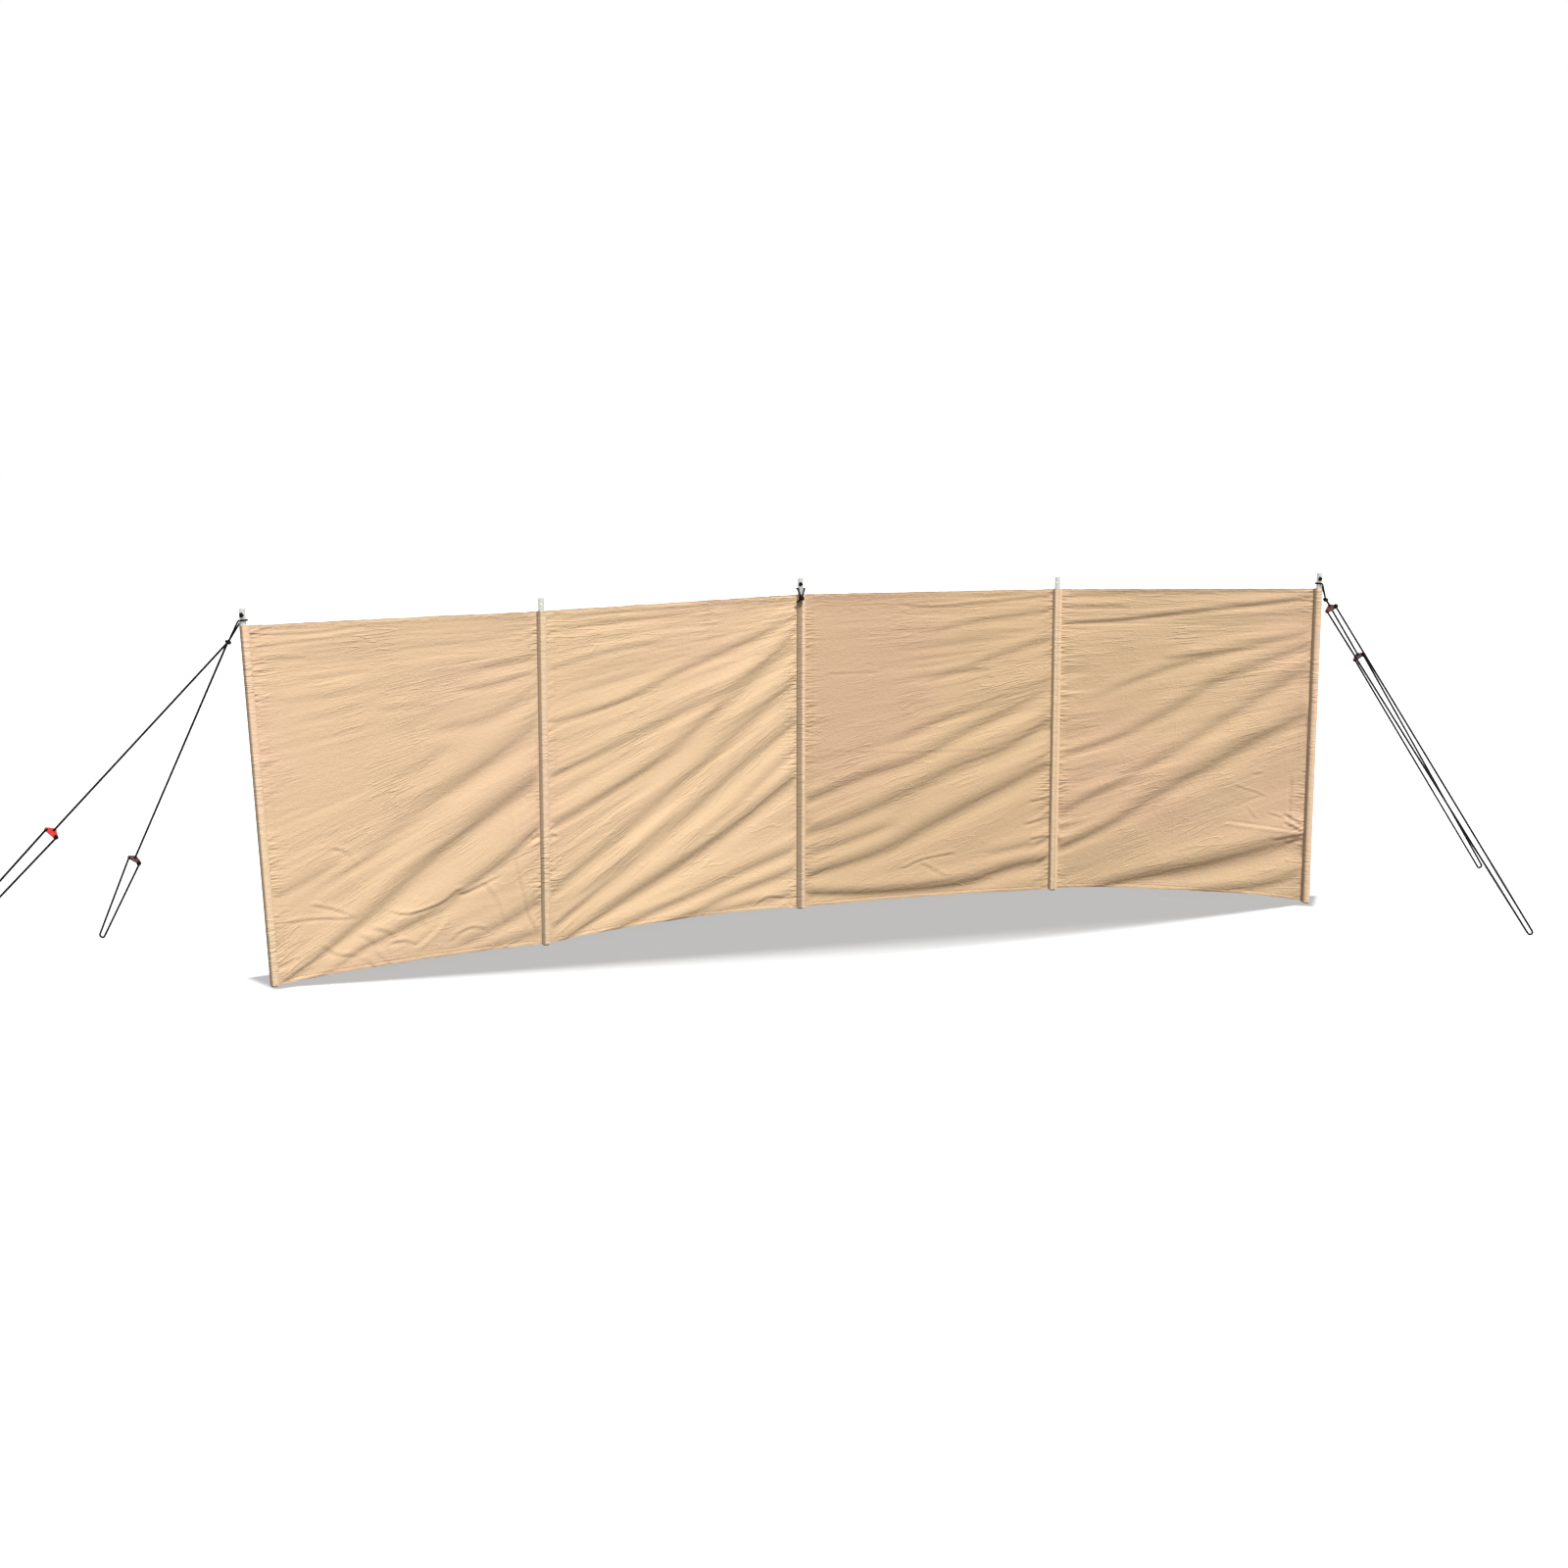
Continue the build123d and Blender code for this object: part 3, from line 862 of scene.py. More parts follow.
def seam_gathers(board, share):
    """Fine gathers beside the seams, much stronger in some places than in others."""
    near = (1 - (0.5 - abs(share - 0.5)) * GATHER_NEARNESS).at_least(0)
    patches = stretched_noise(board, uv_map(board, "metres"), (0.6, 3.4, 1), 1.0)
    uneven = ((patches - 0.42) * 6).at_least(0.12).at_most(1)
    gather = stretched_noise(board, uv_map(board, "shares"), (15, 125, 1), 1.0)
    return gather * near * near * uneven * GATHER_RISE


def with_pressed_lines(height, share, rise, patches):
    """The lines that the cloth was folded along when it was packed. They wander a little."""
    for axis, line, width in PRESS_LINES:
        away = abs((share if axis == "X" else rise) - line + (patches - 0.5) * PRESS_WANDER)
        height = height + (1 - away / width).at_least(0) * PRESS_RISE
    return height


# %% Painted shade on the cotton, and where it is rosy
# The first six constants set painted shade: on the left of a tunnel's round, along the hems and on the top
# fold.
PAINTED_TUNNEL_SHADE = 0.68
HEM_LINES = (0.0125, 0.983)
HEM_LINE_WIDTH = 0.0020
PAINTED_HEM_LINE_SHADE = 0.34
TOP_LINE = 0.9955
PAINTED_TOP_SHADE = 0.42
ROSY = (1.02, 0.982, 1.035, 1.0)


def painted_tunnel_shade(share):
    """Painted shade on the left side of a tunnel's round, where the seam's own shadow would fall."""
    return from_0_to_1(((0.50 - share) * 16).at_most(share * 25 + 0.7)) * PAINTED_TUNNEL_SHADE


def painted_hem_shade(rise):
    """Painted shade in a thin line along each hem's stitching, and on the top fold."""
    dim = from_0_to_1((rise - TOP_LINE) * 500) * PAINTED_TOP_SHADE
    for line in HEM_LINES:
        dim = (1 - abs(rise - line) / HEM_LINE_WIDTH).at_least(0) * PAINTED_HEM_LINE_SHADE + dim
    return dim


def rosy_patches(board, place, share, rise, faded):
    """Where the cotton leans to pink: in loose patches, and about the place where it is faded."""
    rosy = ((stretched_noise(board, place, (1.5, 1.5, 1.5), 1.0) - 0.48) * 5).at_least(0)
    if faded:
        aside, above = (share - faded[0]) * 2.6, (rise - faded[1]) * 2.1
        rosy = rosy + (1 - aside * aside - above * above).at_least(0) * 2
    return rosy.at_most(1)


# %% Cotton
COTTON = tone(223, 191, 154)
# Two copies of the cotton paint in how the suns light the bays: the lighter one on bays 2 and 4 is painted
# light, and the darker one on bay 3 is painted shade.
PAINTED_LIGHT_COTTON = tone(227, 195, 156)
PAINTED_SHADE_COTTON = tone(212, 181, 143)
# The tunnels' rounds get a lighter copy of the cotton: painted light on the lit right side of each round.
PAINTED_LIGHT_TUNNEL_COTTON = tone(234, 204, 168)


def cotton(name, colour, form="flat", faded=None):
    """The cloth's material, for a flat bay or for the round of a tunnel."""
    material, board = new_finish(name)
    metres, shares, place = uv_map(board, "metres"), uv_map(board, "shares"), place_on_piece(board)
    share, rise = axis_of(board, shares, "X"), axis_of(board, shares, "Y")
    slubs = stretched_noise(board, metres, (700, 24, 1)) + stretched_noise(board, metres, (24, 700, 1))
    patches = stretched_noise(board, place, (2.6, 2.6, 2.6), 3.0)
    height = cloth_height(board, slubs, place, form)
    # A round gets painted shade on its left side, and a flat one along its hems and on its top fold.
    if form == "round":
        dim = painted_tunnel_shade(share)
    else:
        dim = painted_hem_shade(rise)
        height = with_pressed_lines(height + seam_gathers(board, share), share, rise, patches)
    mottle = (slubs - 1) * 0.12 + (patches - 0.5) * 0.16 + 0.5
    shade = mixed(board, mottle, scaled(colour, 0.90), scaled(colour, 1.10))
    shade = mixed(board, rosy_patches(board, place, share, rise, faded), shade, ROSY, "MULTIPLY")
    # Painted shade: where dim is 1, the colour falls to a quarter of itself.
    shade = mixed(board, dim, shade, scaled(colour, 0.25))
    close_finish(board, height, {
        "Base Color": shade,
        "Roughness": 0.86 + (patches - 0.5) * 0.1,
        "Specular IOR Level": 0.22,
        "Sheen Weight": 0.12,
        "Sheen Roughness": 0.5,
    })
    return material


light_cotton = cotton("cotton", COTTON)
painted_light_cotton = cotton("cotton_painted_light", PAINTED_LIGHT_COTTON)
painted_shade_cotton = cotton("cotton_painted_shade", PAINTED_SHADE_COTTON, faded=(0.22, 0.78))
painted_light_tunnel_cotton = cotton("cotton_tunnel_painted_light", PAINTED_LIGHT_TUNNEL_COTTON, "round")
bay_cottons = [light_cotton, painted_light_cotton, painted_shade_cotton, painted_light_cotton]
print("cottons, by bay:", [material.name for material in bay_cottons])

# %% [markdown]
# Every piece of cloth here is a grid of points that gets a front, a back and a
# rim. The Solidify modifier would do that too. Doing it in the mesh keeps the two
# faces exactly one thickness apart, and lets all three UV maps be written at once.

# %% The faces of a sheet
def grid_normals(points):
    upward = np.gradient(points, axis=0)
    across = np.gradient(points, axis=1)
    normals = np.cross(across, upward)
    return normals / np.linalg.norm(normals, axis=2, keepdims=True)


def strip_faces(rows, columns):
    """Quads between neighbouring points of a grid, as numbers of points."""
    first = (np.arange(rows - 1)[:, None] * columns + np.arange(columns - 1)).ravel()
    return np.stack([first, first + 1, first + columns + 1, first + columns], axis=1)


def rim_loop(rows, columns):
    numbers = np.arange(rows * columns).reshape(rows, columns)
    return np.concatenate([numbers[0, :-1], numbers[:-1, -1], numbers[-1, :0:-1], numbers[:0:-1, 0]])


print("a grid of 3 by 3 points has", len(strip_faces(3, 3)), "quads and", len(rim_loop(3, 3)), "rim points")

# %% A sheet from grids of points
MAPS = ("metres", "shares", "flow")
SHARP_ANGLE = 70


def add_piece(name, mesh):
    piece = bpy.data.objects.new(name, mesh)
    scene.collection.objects.link(piece)
    return piece


def sheet_piece(name, grids, thickness, *materials):
    """One object from grids of points. Each grid comes with its three UV maps and its material's number."""
    points, faces, slots, maps, count = [], [], [], {name: [] for name in MAPS}, 0
    for grid, *places, slot in grids:
        rows, columns = grid.shape[:2]
        half = grid_normals(grid) * (thickness / 2)
        size = rows * columns
        front = strip_faces(rows, columns) + count
        rim = rim_loop(rows, columns) + count
        after = np.roll(rim, -1)
        points += [(grid + half).reshape(-1, 3), (grid - half).reshape(-1, 3)]
        faces += [front, front[:, ::-1] + size, np.stack([after, rim, rim + size, after + size], axis=1)]
        slots.append(np.full(2 * len(front) + len(rim), slot))
        for map_name, values in zip(MAPS, places):
            maps[map_name] += [values.reshape(-1, 2)] * 2
        count += 2 * size
    faces = np.concatenate(faces)
    mesh = bpy.data.meshes.new(name)
    mesh.from_pydata(np.concatenate(points), [], faces)
    for map_name, values in maps.items():
        layer = mesh.uv_layers.new(name=map_name)
        layer.data.foreach_set("uv", np.concatenate(values)[faces.ravel()].ravel())
    mesh.shade_smooth()
    mesh.set_sharp_from_angle(angle=radians(SHARP_ANGLE))
    for material in materials:
        mesh.materials.append(material)
    mesh.polygons.foreach_set("material_index", np.concatenate(slots))
    return add_piece(name, mesh)


def finish_piece(piece, stands_for=()):
    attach(piece, "root")
    if stands_for:
        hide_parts(*stands_for)


# %% [markdown]
# A panel runs from one tunnel's wing to the next. Its grid is finer beside the
# wings, where the puckers are, and coarser in mid bay. It runs a little way into
# the wings and into its hems, so that no gap opens between them.

# %% The shape of a panel
WING_REACH = 0.0623
HEM = 0.018
CLOTH = 0.0010
PANEL_LAP = 0.002
PANEL_COLUMNS = 112
PANEL_ROWS = 318
GRADING = 0.10


def graded(low, high, count):
    """Numbers from low to high, closer together at both ends."""
    share = np.linspace(0, 1, count)
    return low + (high - low) * (share - GRADING * np.sin(2 * pi * share) / (2 * pi) * 4)


def bay_grid(bay, x, height, lift=0.0, slot=0):
    """A grid of the bay's cloth, with each point's place in its three UV maps."""
    x, height = np.broadcast_arrays(x, height)
    low, high = bay.edges(x)
    points = bay.place(x, height, relief(bay, x, height) + lift)
    metres = np.stack([x + bay.number, height], axis=2)
    shares = np.stack([x / bay.span, (height - low) / (high - low)], axis=2)
    return points, metres, shares, np.stack([x + bay.number, flow(bay, x, height)], axis=2), slot


def panel(bay):
    x = graded(WING_REACH - PANEL_LAP, bay.span - WING_REACH + PANEL_LAP, PANEL_COLUMNS)[None, :]
    low, high = bay.edges(x)
    up = np.linspace(0, 1, PANEL_ROWS)[:, None]
    bottom, top = low + HEM - PANEL_LAP, high - HEM + PANEL_LAP
    return sheet_piece(f"cloth_{bay.number + 1}", [bay_grid(bay, x, bottom + (top - bottom) * up)],
                       CLOTH, bay_cottons[bay.number])


print("a panel will have", PANEL_COLUMNS, "by", PANEL_ROWS, "points on each face")

# %% [markdown]
# A hem is the panel's edge folded over and sewn down, so it is thicker than the
# panel. Its stitches draw it in a little, which leaves a soft roll along the very
# edge, and the fold is not quite straight. It takes its shape from the relief of
# the bay, as the panel does.

# %% The hems, and the panels with them
HEM_CLOTH = 0.0024
HEM_LAP = 0.001
HEM_ROWS = 7
HEM_PROFILE = (0.0, 0.8, 1.0, 0.9, 0.6, -0.7, 0.2)
HEM_RISE = 0.0008
HEM_WAVERS = ((0.0012, 0.05, 0), (0.0006, 0.016, 5))
HEM_TUG = 0.0007


def hem(bay, at_top):
    """A doubled edge. Its stitches draw it in a little, and its fold is not quite straight."""
    x = graded(WING_REACH - HEM_LAP, bay.span - WING_REACH + HEM_LAP, 3 * PANEL_COLUMNS // 2)[None, :]
    low, high = bay.edges(x)
    up = np.linspace(0, 1, HEM_ROWS)[:, None]
    seed = 900 + bay.number + 10 * at_top
    waver = sum(size * noise(x / length, 0 * x, seed + more) for size, length, more in HEM_WAVERS)
    inward = (1 - up) if at_top else up
    height = (high - HEM if at_top else low) + HEM * up + waver * (1 - inward)
    rise = np.interp(inward, np.linspace(0, 1, HEM_ROWS), HEM_PROFILE) * HEM_RISE
    tug = HEM_TUG * noise(x / 0.012, 2 * up, seed + 20) * ease(inward * 2)
    name = f"{'top' if at_top else 'foot'}_edge_{bay.number + 1}"
    return sheet_piece(name, [bay_grid(bay, x, height, rise + tug)], HEM_CLOTH, bay_cottons[bay.number])


panels, hems = [], []
for bay in bays:
    cloth, foot, top = panel(bay), hem(bay, False), hem(bay, True)
    finish_piece(cloth, [f"panel_{bay.number + 1}"])
    finish_piece(foot, [f"foot_hem_{bay.number + 1}"])
    finish_piece(top, [f"top_hem_{bay.number + 1}"])
    panels.append(cloth)
    hems.append((foot, top))
    print(cloth.name, len(cloth.data.polygons), "faces, and", len(top.data.polygons), "on each hem")

# %% [markdown]
# A tunnel is a strip of cloth on either side of the post, sewn together close
# beside it. From the front it is a steep round ridge, with the flat cloth of the
# two bays leaving it at the seams. An end tunnel closes round the outer side of
# its post instead. The round is a grid that is swept up the post, so it follows
# the post's lean, and each flat takes its shape from its own bay.

# %% The round of a tunnel
RIDGE = 0.0139
OUTER = 0.0148
RIDGE_STEPS = 17
TUNNEL_ROWS = 300
RIDGE_WRINKLES = ((0.9, 0.0075, 0.55), (0.5, 0.030, 0.5))
UNROLLED_FROM = 10
PAINTED_SHADE_SHIFTS = (0.20, 0.14, -0.04, 0.14, 0.10)


def ridge(post, turns, rows):
    """The round of a tunnel. A turn of 0 is the right seam, 90 degrees the front, 180 the left seam."""
    left, right = bays_beside(post)
    front = left.front + right.front
    front = front / np.linalg.norm(front)
    reach_right = SEAM if post < BAY_COUNT else OUTER
    reach_left = SEAM if post > 0 else OUTER
    turn, up = turns[None, :], np.linspace(0, 1, rows)[:, None]
    height = CLOTH_FOOT + (cloth_tops[post] - CLOTH_FOOT) * up + 0 * turn
    wrinkle = sum(noise(turn * around, height / tall, 700 + 50 * step + post) * rise
                  for step, (around, tall, rise) in enumerate(RIDGE_WRINKLES))
    slack = RIDGE + wrinkle / 1000 * np.abs(np.sin(turn))
    out = front * (slack * np.sin(turn))[..., None]
    out = out + right.way * (reach_right * np.clip(np.cos(turn), 0, None))[..., None]
    out = out - left.way * (reach_left * np.clip(-np.cos(turn), 0, None))[..., None]
    points = on_axis(post, height) + out
    steps = np.linalg.norm(np.diff(points, axis=1), axis=2).mean(0)
    across = np.concatenate([[0], np.cumsum(steps)])[None, :] + UNROLLED_FROM + post + 0 * height
    metres = np.stack([across, height], axis=2)
    # The last term shifts, post by post, where the painted shade on the round's left side ends.
    share = 1 - turn / pi + PAINTED_SHADE_SHIFTS[post] + 0 * height
    return points, metres, np.stack([share, height / CLOTH_HEIGHT], axis=2), metres, 1


# %% The tunnels
WING_STEPS = 9
TUNNEL_CLOTH = 0.0012


def wing(post, side, slot):
    """The flat of a tunnel on the side of one bay, from the seam to where the panel begins."""
    bay = bays[post - 1] if side < 0 else bays[post]
    x = np.linspace(SEAM, WING_REACH, WING_STEPS)
    x = (bay.span - x[::-1] if side < 0 else x)[None, :]
    return bay_grid(bay, x, bay.height(x, np.linspace(0, 1, TUNNEL_ROWS)[:, None]), 0.0, slot)


def tunnel(post):
    """The left bay's wing, the round and the right bay's wing, in material slots 0, 1 and 2."""
    turns = np.linspace(pi, 0, RIDGE_STEPS)
    if post == 0:
        turns = np.linspace(2 * pi, 0, 2 * RIDGE_STEPS)
    if post == BAY_COUNT:
        turns = np.linspace(pi, -pi, 2 * RIDGE_STEPS)
    grids = [ridge(post, turns, TUNNEL_ROWS)]
    if post > 0:
        grids.append(wing(post, -1, 0))
    if post < BAY_COUNT:
        grids.append(wing(post, 1, 2))
    if len(grids) == 3:
        grids.append(ridge(post, turns + pi, TUNNEL_ROWS // 2))
    left, right = (bay_cottons[bay.number] for bay in bays_beside(post))
    return sheet_piece(f"tunnel_{post + 1}", grids, TUNNEL_CLOTH, left, painted_light_tunnel_cotton, right)


tunnels = [tunnel(post) for post in range(POST_COUNT)]
for post, cloth in enumerate(tunnels):
    finish_piece(cloth, [f"sleeve_{post + 1}"])
    print(cloth.name, len(cloth.data.polygons), "faces")

# %% [markdown]
# Each piece of cloth is a sheet, stretched between its posts. The sheets are
# counted here. A tunnel's width is the cloth that goes round its post, with a
# wing on each side that has a bay.

# %% Count the sheets and work out the tunnels' widths
for bay, cloth, edges in zip(bays, panels, hems):
    for edge in edges:
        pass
for post, cloth in enumerate(tunnels):
    middle = 0 < post < BAY_COUNT
    width = (4 * SEAM + 2 * WING_REACH) if middle else (3 * SEAM + WING_REACH)
print("sheets declared:", len(panels) + 2 * len(hems) + len(tunnels))

# %% [markdown]
# The posts are zinc-coated steel tube, dulled by salt air. The CAD tubes have the
# right shape, so they only get a finish: nearly grey metal with soft blotches in
# its roughness and fine drawn lines up its length. The same recipe, with other
# values, serves the plugs' soft plastic and the runners' glossier one.

# %% A finish for steel and plastic
LINE_RISE = 0.00006
BLOTCH_RISE = 0.0001


def plain_finish(name, colour, roughness, metallic, grain, blotch, coat=0.0):
    """A blotched colour under fine lines. The smaller the grain, the longer the lines run up."""
    material, board = new_finish(name)
    place = place_on_piece(board)
    blotches = stretched_noise(board, place, (38, 38, 12), 3.0)
    lines = stretched_noise(board, place, (900, 900, grain), 2.0)
    close_finish(board, lines * LINE_RISE + blotches * BLOTCH_RISE, {
        "Base Color": mixed(board, blotches, scaled(colour, 1 - blotch), scaled(colour, 1 + blotch)),
        "Roughness": roughness + (blotches - 0.5) * 0.25,
        "Metallic": metallic,
        "Coat Weight": coat,
    })
    return material


steel = plain_finish("post_steel", tone(205, 206, 198), 0.42, 0.45, 20, 0.06)
plug = plain_finish("plug_plastic", tone(58, 58, 56), 0.55, 0.0, 900, 0.08)
red = plain_finish("runner_red", tone(206, 40, 30), 0.32, 0.0, 900, 0.05, 0.2)
brown = plain_finish("runner_brown", tone(88, 24, 24), 0.34, 0.0, 900, 0.08, 0.2)
print("finishes:", steel.name, plug.name, red.name, brown.name)

# %% Dress the posts and their plugs
def dress(piece, material):
    piece.data.materials.clear()
    piece.data.materials.append(material)


for number in range(POST_COUNT):
    dress(nodes[f"post_{number + 1}"], steel)
    dress(nodes[f"post_plug_{number + 1}"], plug)
print("posts and plugs dressed:", 2 * POST_COUNT)

# %% [markdown]
# Geometry Nodes make the cord and the stitches, because both follow a path. A
# Recipe is a tree with named inputs. It takes a curve, and its result is turned
# into a plain mesh at once. An input is set by its socket's identifier, since
# two sockets may share a name.

# %% A tree that turns a curve into a mesh
class Recipe(Board):
    """A Geometry Nodes tree. An input is a number, or the kind of thing that it takes."""

    def __init__(self, name, inputs):
        super().__init__(bpy.data.node_groups.new(name, "GeometryNodeTree"))
        self.identifiers = {}
        for label, value in inputs.items():
            is_number = isinstance(value, float)
            kind = "NodeSocket" + ("Float" if is_number else value)
            socket = self.tree.interface.new_socket(name=label, in_out="INPUT", socket_type=kind)
            if is_number:
                socket.default_value = value
            self.identifiers[label] = socket.identifier
        given = self.tree.nodes.new("NodeGroupInput")
        self.given = {label: Wire(self, given.outputs[label]) for label in inputs}

    def close(self, geometry, result):
        """Ends the tree with real mesh in place of instances, and with its material."""
        real = self.add("GeometryNodeRealizeInstances", None, {"Geometry": geometry})
        done = self.add("GeometryNodeSetMaterial", None, {"Geometry": real, "Material": self.given["Finish"]})
        self.tree.interface.new_socket(name=result, in_out="OUTPUT", socket_type="NodeSocketGeometry")
        self.add("NodeGroupOutput", None, {result: done})


# %% A mesh from a curve
def add_line(curve, points, closed=False, bends=None):
    """Straight runs through some points, with the radius that the bend at each will have."""
    line = curve.splines.new("POLY")
    line.points.add(len(points) - 1)
    line.points.foreach_set("co", [number for point in points for number in (*point, 1)])
    if bends is not None:
        line.points.foreach_set("radius", bends)
    line.use_cyclic_u = closed


def mesh_from(curve, recipe=None, **values):
    """The plain mesh that a curve makes, by itself or through a recipe with some inputs set."""
    holder = bpy.data.objects.new(curve.name, curve)
    scene.collection.objects.link(holder)
    if recipe:
        layer = holder.modifiers.new(recipe.tree.name, "NODES")
        layer.node_group = recipe.tree
        for label, value in values.items():
            layer[recipe.identifiers[label]] = value
    shown = holder.evaluated_get(bpy.context.evaluated_depsgraph_get())
    mesh = bpy.data.meshes.new_from_object(shown)
    holder.modifiers.clear()
    bpy.data.objects.remove(holder)
    return mesh


# %% [markdown]
# The cord is three twisted strands. Its path is straight runs with small bends
# where it turns through a runner, round a post or back at a peg. The recipe rounds
# the corners, spaces points evenly, turns the section as it goes and sweeps a
# section of three lobes along it. A longer lay would look like a slacker twist.

# %% Laid cord
CORD_RADIUS = 0.0035
LAY = 0.027
STRANDS = 3.0
RING_STEP = 0.0045
RING_POINTS = 9
BEND_POINTS = 5
LOBE_SWELL = 0.07
LOBE_MIDDLE = 1.06


def cord_section(recipe):
    """A ring that swells once for each strand."""
    ring = recipe.add("GeometryNodeCurvePrimitiveCircle", {"mode": "RADIUS"},
                      {"Resolution": RING_POINTS, "Radius": recipe.given["Radius"]})
    turn = recipe.add("GeometryNodeSplineParameter", output="Factor") * recipe.given["Strands"] * (2 * pi)
    swell = turn.sine() * LOBE_SWELL + LOBE_MIDDLE
    here = recipe.add("GeometryNodeInputPosition")
    lobed = recipe.add("ShaderNodeVectorMath", {"operation": "SCALE"}, {0: here, "Scale": swell})
    return recipe.add("GeometryNodeSetPosition", None, {"Geometry": ring, "Position": lobed})


laid_cord = Recipe("laid cord", {"Path": "Geometry", "Radius": CORD_RADIUS, "Lay": LAY, "Step": RING_STEP,
                                 "Strands": STRANDS, "Finish": "Material"})
bend = laid_cord.add("GeometryNodeInputRadius")
rounded = laid_cord.add("GeometryNodeFilletCurve", {"mode": "POLY"}, {
    "Curve": laid_cord.given["Path"], "Count": BEND_POINTS, "Radius": bend, "Limit Radius": True})
even = laid_cord.add("GeometryNodeResampleCurve", {"mode": "LENGTH"},
                     {"Curve": rounded, "Length": laid_cord.given["Step"]})
plain = laid_cord.add("GeometryNodeSetCurveRadius", None, {"Curve": even, "Radius": 1.0})
run = laid_cord.add("GeometryNodeSplineParameter", output="Length")
twist = run / laid_cord.given["Lay"] * (2 * pi)
laid = laid_cord.add("GeometryNodeSetCurveTilt", None, {"Curve": plain, "Tilt": twist})
swept = laid_cord.add("GeometryNodeCurveToMesh", None,
                      {"Curve": laid, "Profile Curve": cord_section(laid_cord), "Fill Caps": True})
laid_cord.close(laid_cord.add("GeometryNodeSetShadeSmooth", None, {"Geometry": swept}), "Cord")
print("cord inputs:", list(laid_cord.given))

# %% [markdown]
# The cord's finish is nearly black polyester: two close tones that its fibres mix,
# worn a little paler in places, with hardly any shine. The fibres are far finer
# than the strands, so they are noise, and the strands are real shape.

# %% Cord finish
FIBRE_RISE = 0.0003


def cord_finish(name):
    material, board = new_finish(name)
    place = place_on_piece(board)
    fibre = stretched_noise(board, place, (1500, 1500, 1500), 2.0)
    worn = stretched_noise(board, place, (30, 30, 30), 3.0)
    mix = ((fibre - 0.5) * 1.1 + (worn - 0.5) * 0.9 + 0.42).at_least(0)
    close_finish(board, fibre * FIBRE_RISE, {
        "Base Color": mixed(board, mix, tone(6, 7, 7), tone(22, 25, 21)),
        "Roughness": 0.80 + (worn - 0.5) * 0.2,
        "Specular IOR Level": 0.12,
    })
    return material


dark_cord = cord_finish("guy_cord")


def make_cord(name, paths, radius=CORD_RADIUS):
    """A piece of laid cord. A path is its points, the bend at each, and whether it closes."""
    curve = bpy.data.curves.new(name + "_path", "CURVE")
    curve.dimensions = "3D"
    for points, bends, closed in paths:
        add_line(curve, points, closed, bends)
    mesh = mesh_from(curve, laid_cord, Radius=radius, Finish=dark_cord)
    mesh.name = name
    return add_piece(name, mesh)


print("cord finish:", dark_cord.name)

# %% [markdown]
# A collar is the cord's own end: a stopper in front of the post's hole, through
# the tube, down its back, round to the front and into the main knot. The middle
# post has one too, with a short tail and no guy.

# %% The way of a collar
CORD_GAP = 0.0003
HOLE_DROP = 0.025
COLLAR_DROP = 0.045
COLLAR_REACH = 0.012
COLLAR_BEND = 0.008
STRAND_BEND = 1.1
BEND_SHARE = 0.95
CORD_RING = TUBE_RADIUS + CORD_GAP + CORD_RADIUS
KNOT_RADIUS = 0.009
COLLARS = {"left": (0, 170.0), "middle": (2, -80.0), "right": (4, -2.0)}


def knot_centre(name):
    """The middle of a collar's knot. The middle collar's has a short tail, so its far corner is used."""
    low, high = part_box(f"collar_knot_{name}")
    if name != "middle":
        return (low + high) / 2
    return Vector((high.x - KNOT_RADIUS, (low.y + high.y) / 2, high.z - KNOT_RADIUS))


def post_frame(post, toward):
    """A post's top, and three directions: out as near to toward as it can be, sideways and up."""
    foot, rise = axes[post]
    up = Vector(rise).normalized()
    top_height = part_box(f"post_{post + 1}")[1].z
    out = (toward - up * toward.dot(up)).normalized()
    return Vector(foot + rise * top_height), out, up.cross(out), up


def collar_loop(name):
    """From the knot round the post and back to the knot."""
    post, pull = COLLARS[name]
    knot = knot_centre(name)
    top, out, side, up = post_frame(post, Vector((cos(radians(pull)), sin(radians(pull)), 0)))
    ring = top - up * COLLAR_DROP
    ways = []
    for sign in (1, -1):
        bend = ring + out * COLLAR_REACH + side * (sign * CORD_RING)
        back = ring - out * CORD_RING + side * (sign * CORD_RING)
        ways.append([knot, bend, back])
    hug = CORD_RING * BEND_SHARE
    return ways[0] + ways[1][::-1], [0, COLLAR_BEND, hug, hug, COLLAR_BEND, 0], False


def collar_strand(post):
    """From a seat in front of the post through its hole and down its back, with the seat and the way out."""
    top, out, _, up = post_frame(post, Vector((0, -1, 0)))
    hole = top - up * HOLE_DROP
    seat = hole + out * (TUBE_RADIUS + CORD_GAP)
    behind = hole - out * CORD_RING
    strand = [seat, behind, behind - up * (COLLAR_DROP - HOLE_DROP)]
    return (strand, [0, CORD_RADIUS * STRAND_BEND, 0], False), seat, out


print("collars:", {name: [round(part, 3) for part in knot_centre(name)] for name in COLLARS})

# %% [markdown]
# The knots are small closed knots of the same cord, drawn up tight. A trefoil has
# the crossings that an overhand knot shows, and one formula gives it.

# %% Knots
KNOT_POINTS = 48


def tight_knot(centre, along, size):
    """A closed trefoil about a direction, small enough for its turns to touch."""
    along = along.normalized()
    side = along.orthogonal().normalized()
    other = along.cross(side)
    points = []
    for number in range(KNOT_POINTS):
        turn = 2 * pi * number / KNOT_POINTS
        ring = 2 + cos(3 * turn)
        points.append(centre + side * (size * ring * cos(2 * turn))
                      + other * (size * ring * sin(2 * turn)) + along * (size * 1.5 * sin(3 * turn)))
    return points, [0.0] * KNOT_POINTS, True


# %% Collars and their knots
KNOT_SIZE = 0.0031
KNOT_CORD = 0.0043
KNOT_LEAN = Vector((0.3, -0.2, 1))
COLLAR_CORD = 0.0037
STOPPER_SIZE = 0.0023
STOPPER_REACH = 0.0058
TAIL = Vector((-0.77, -0.10, -0.63)).normalized() * 0.029

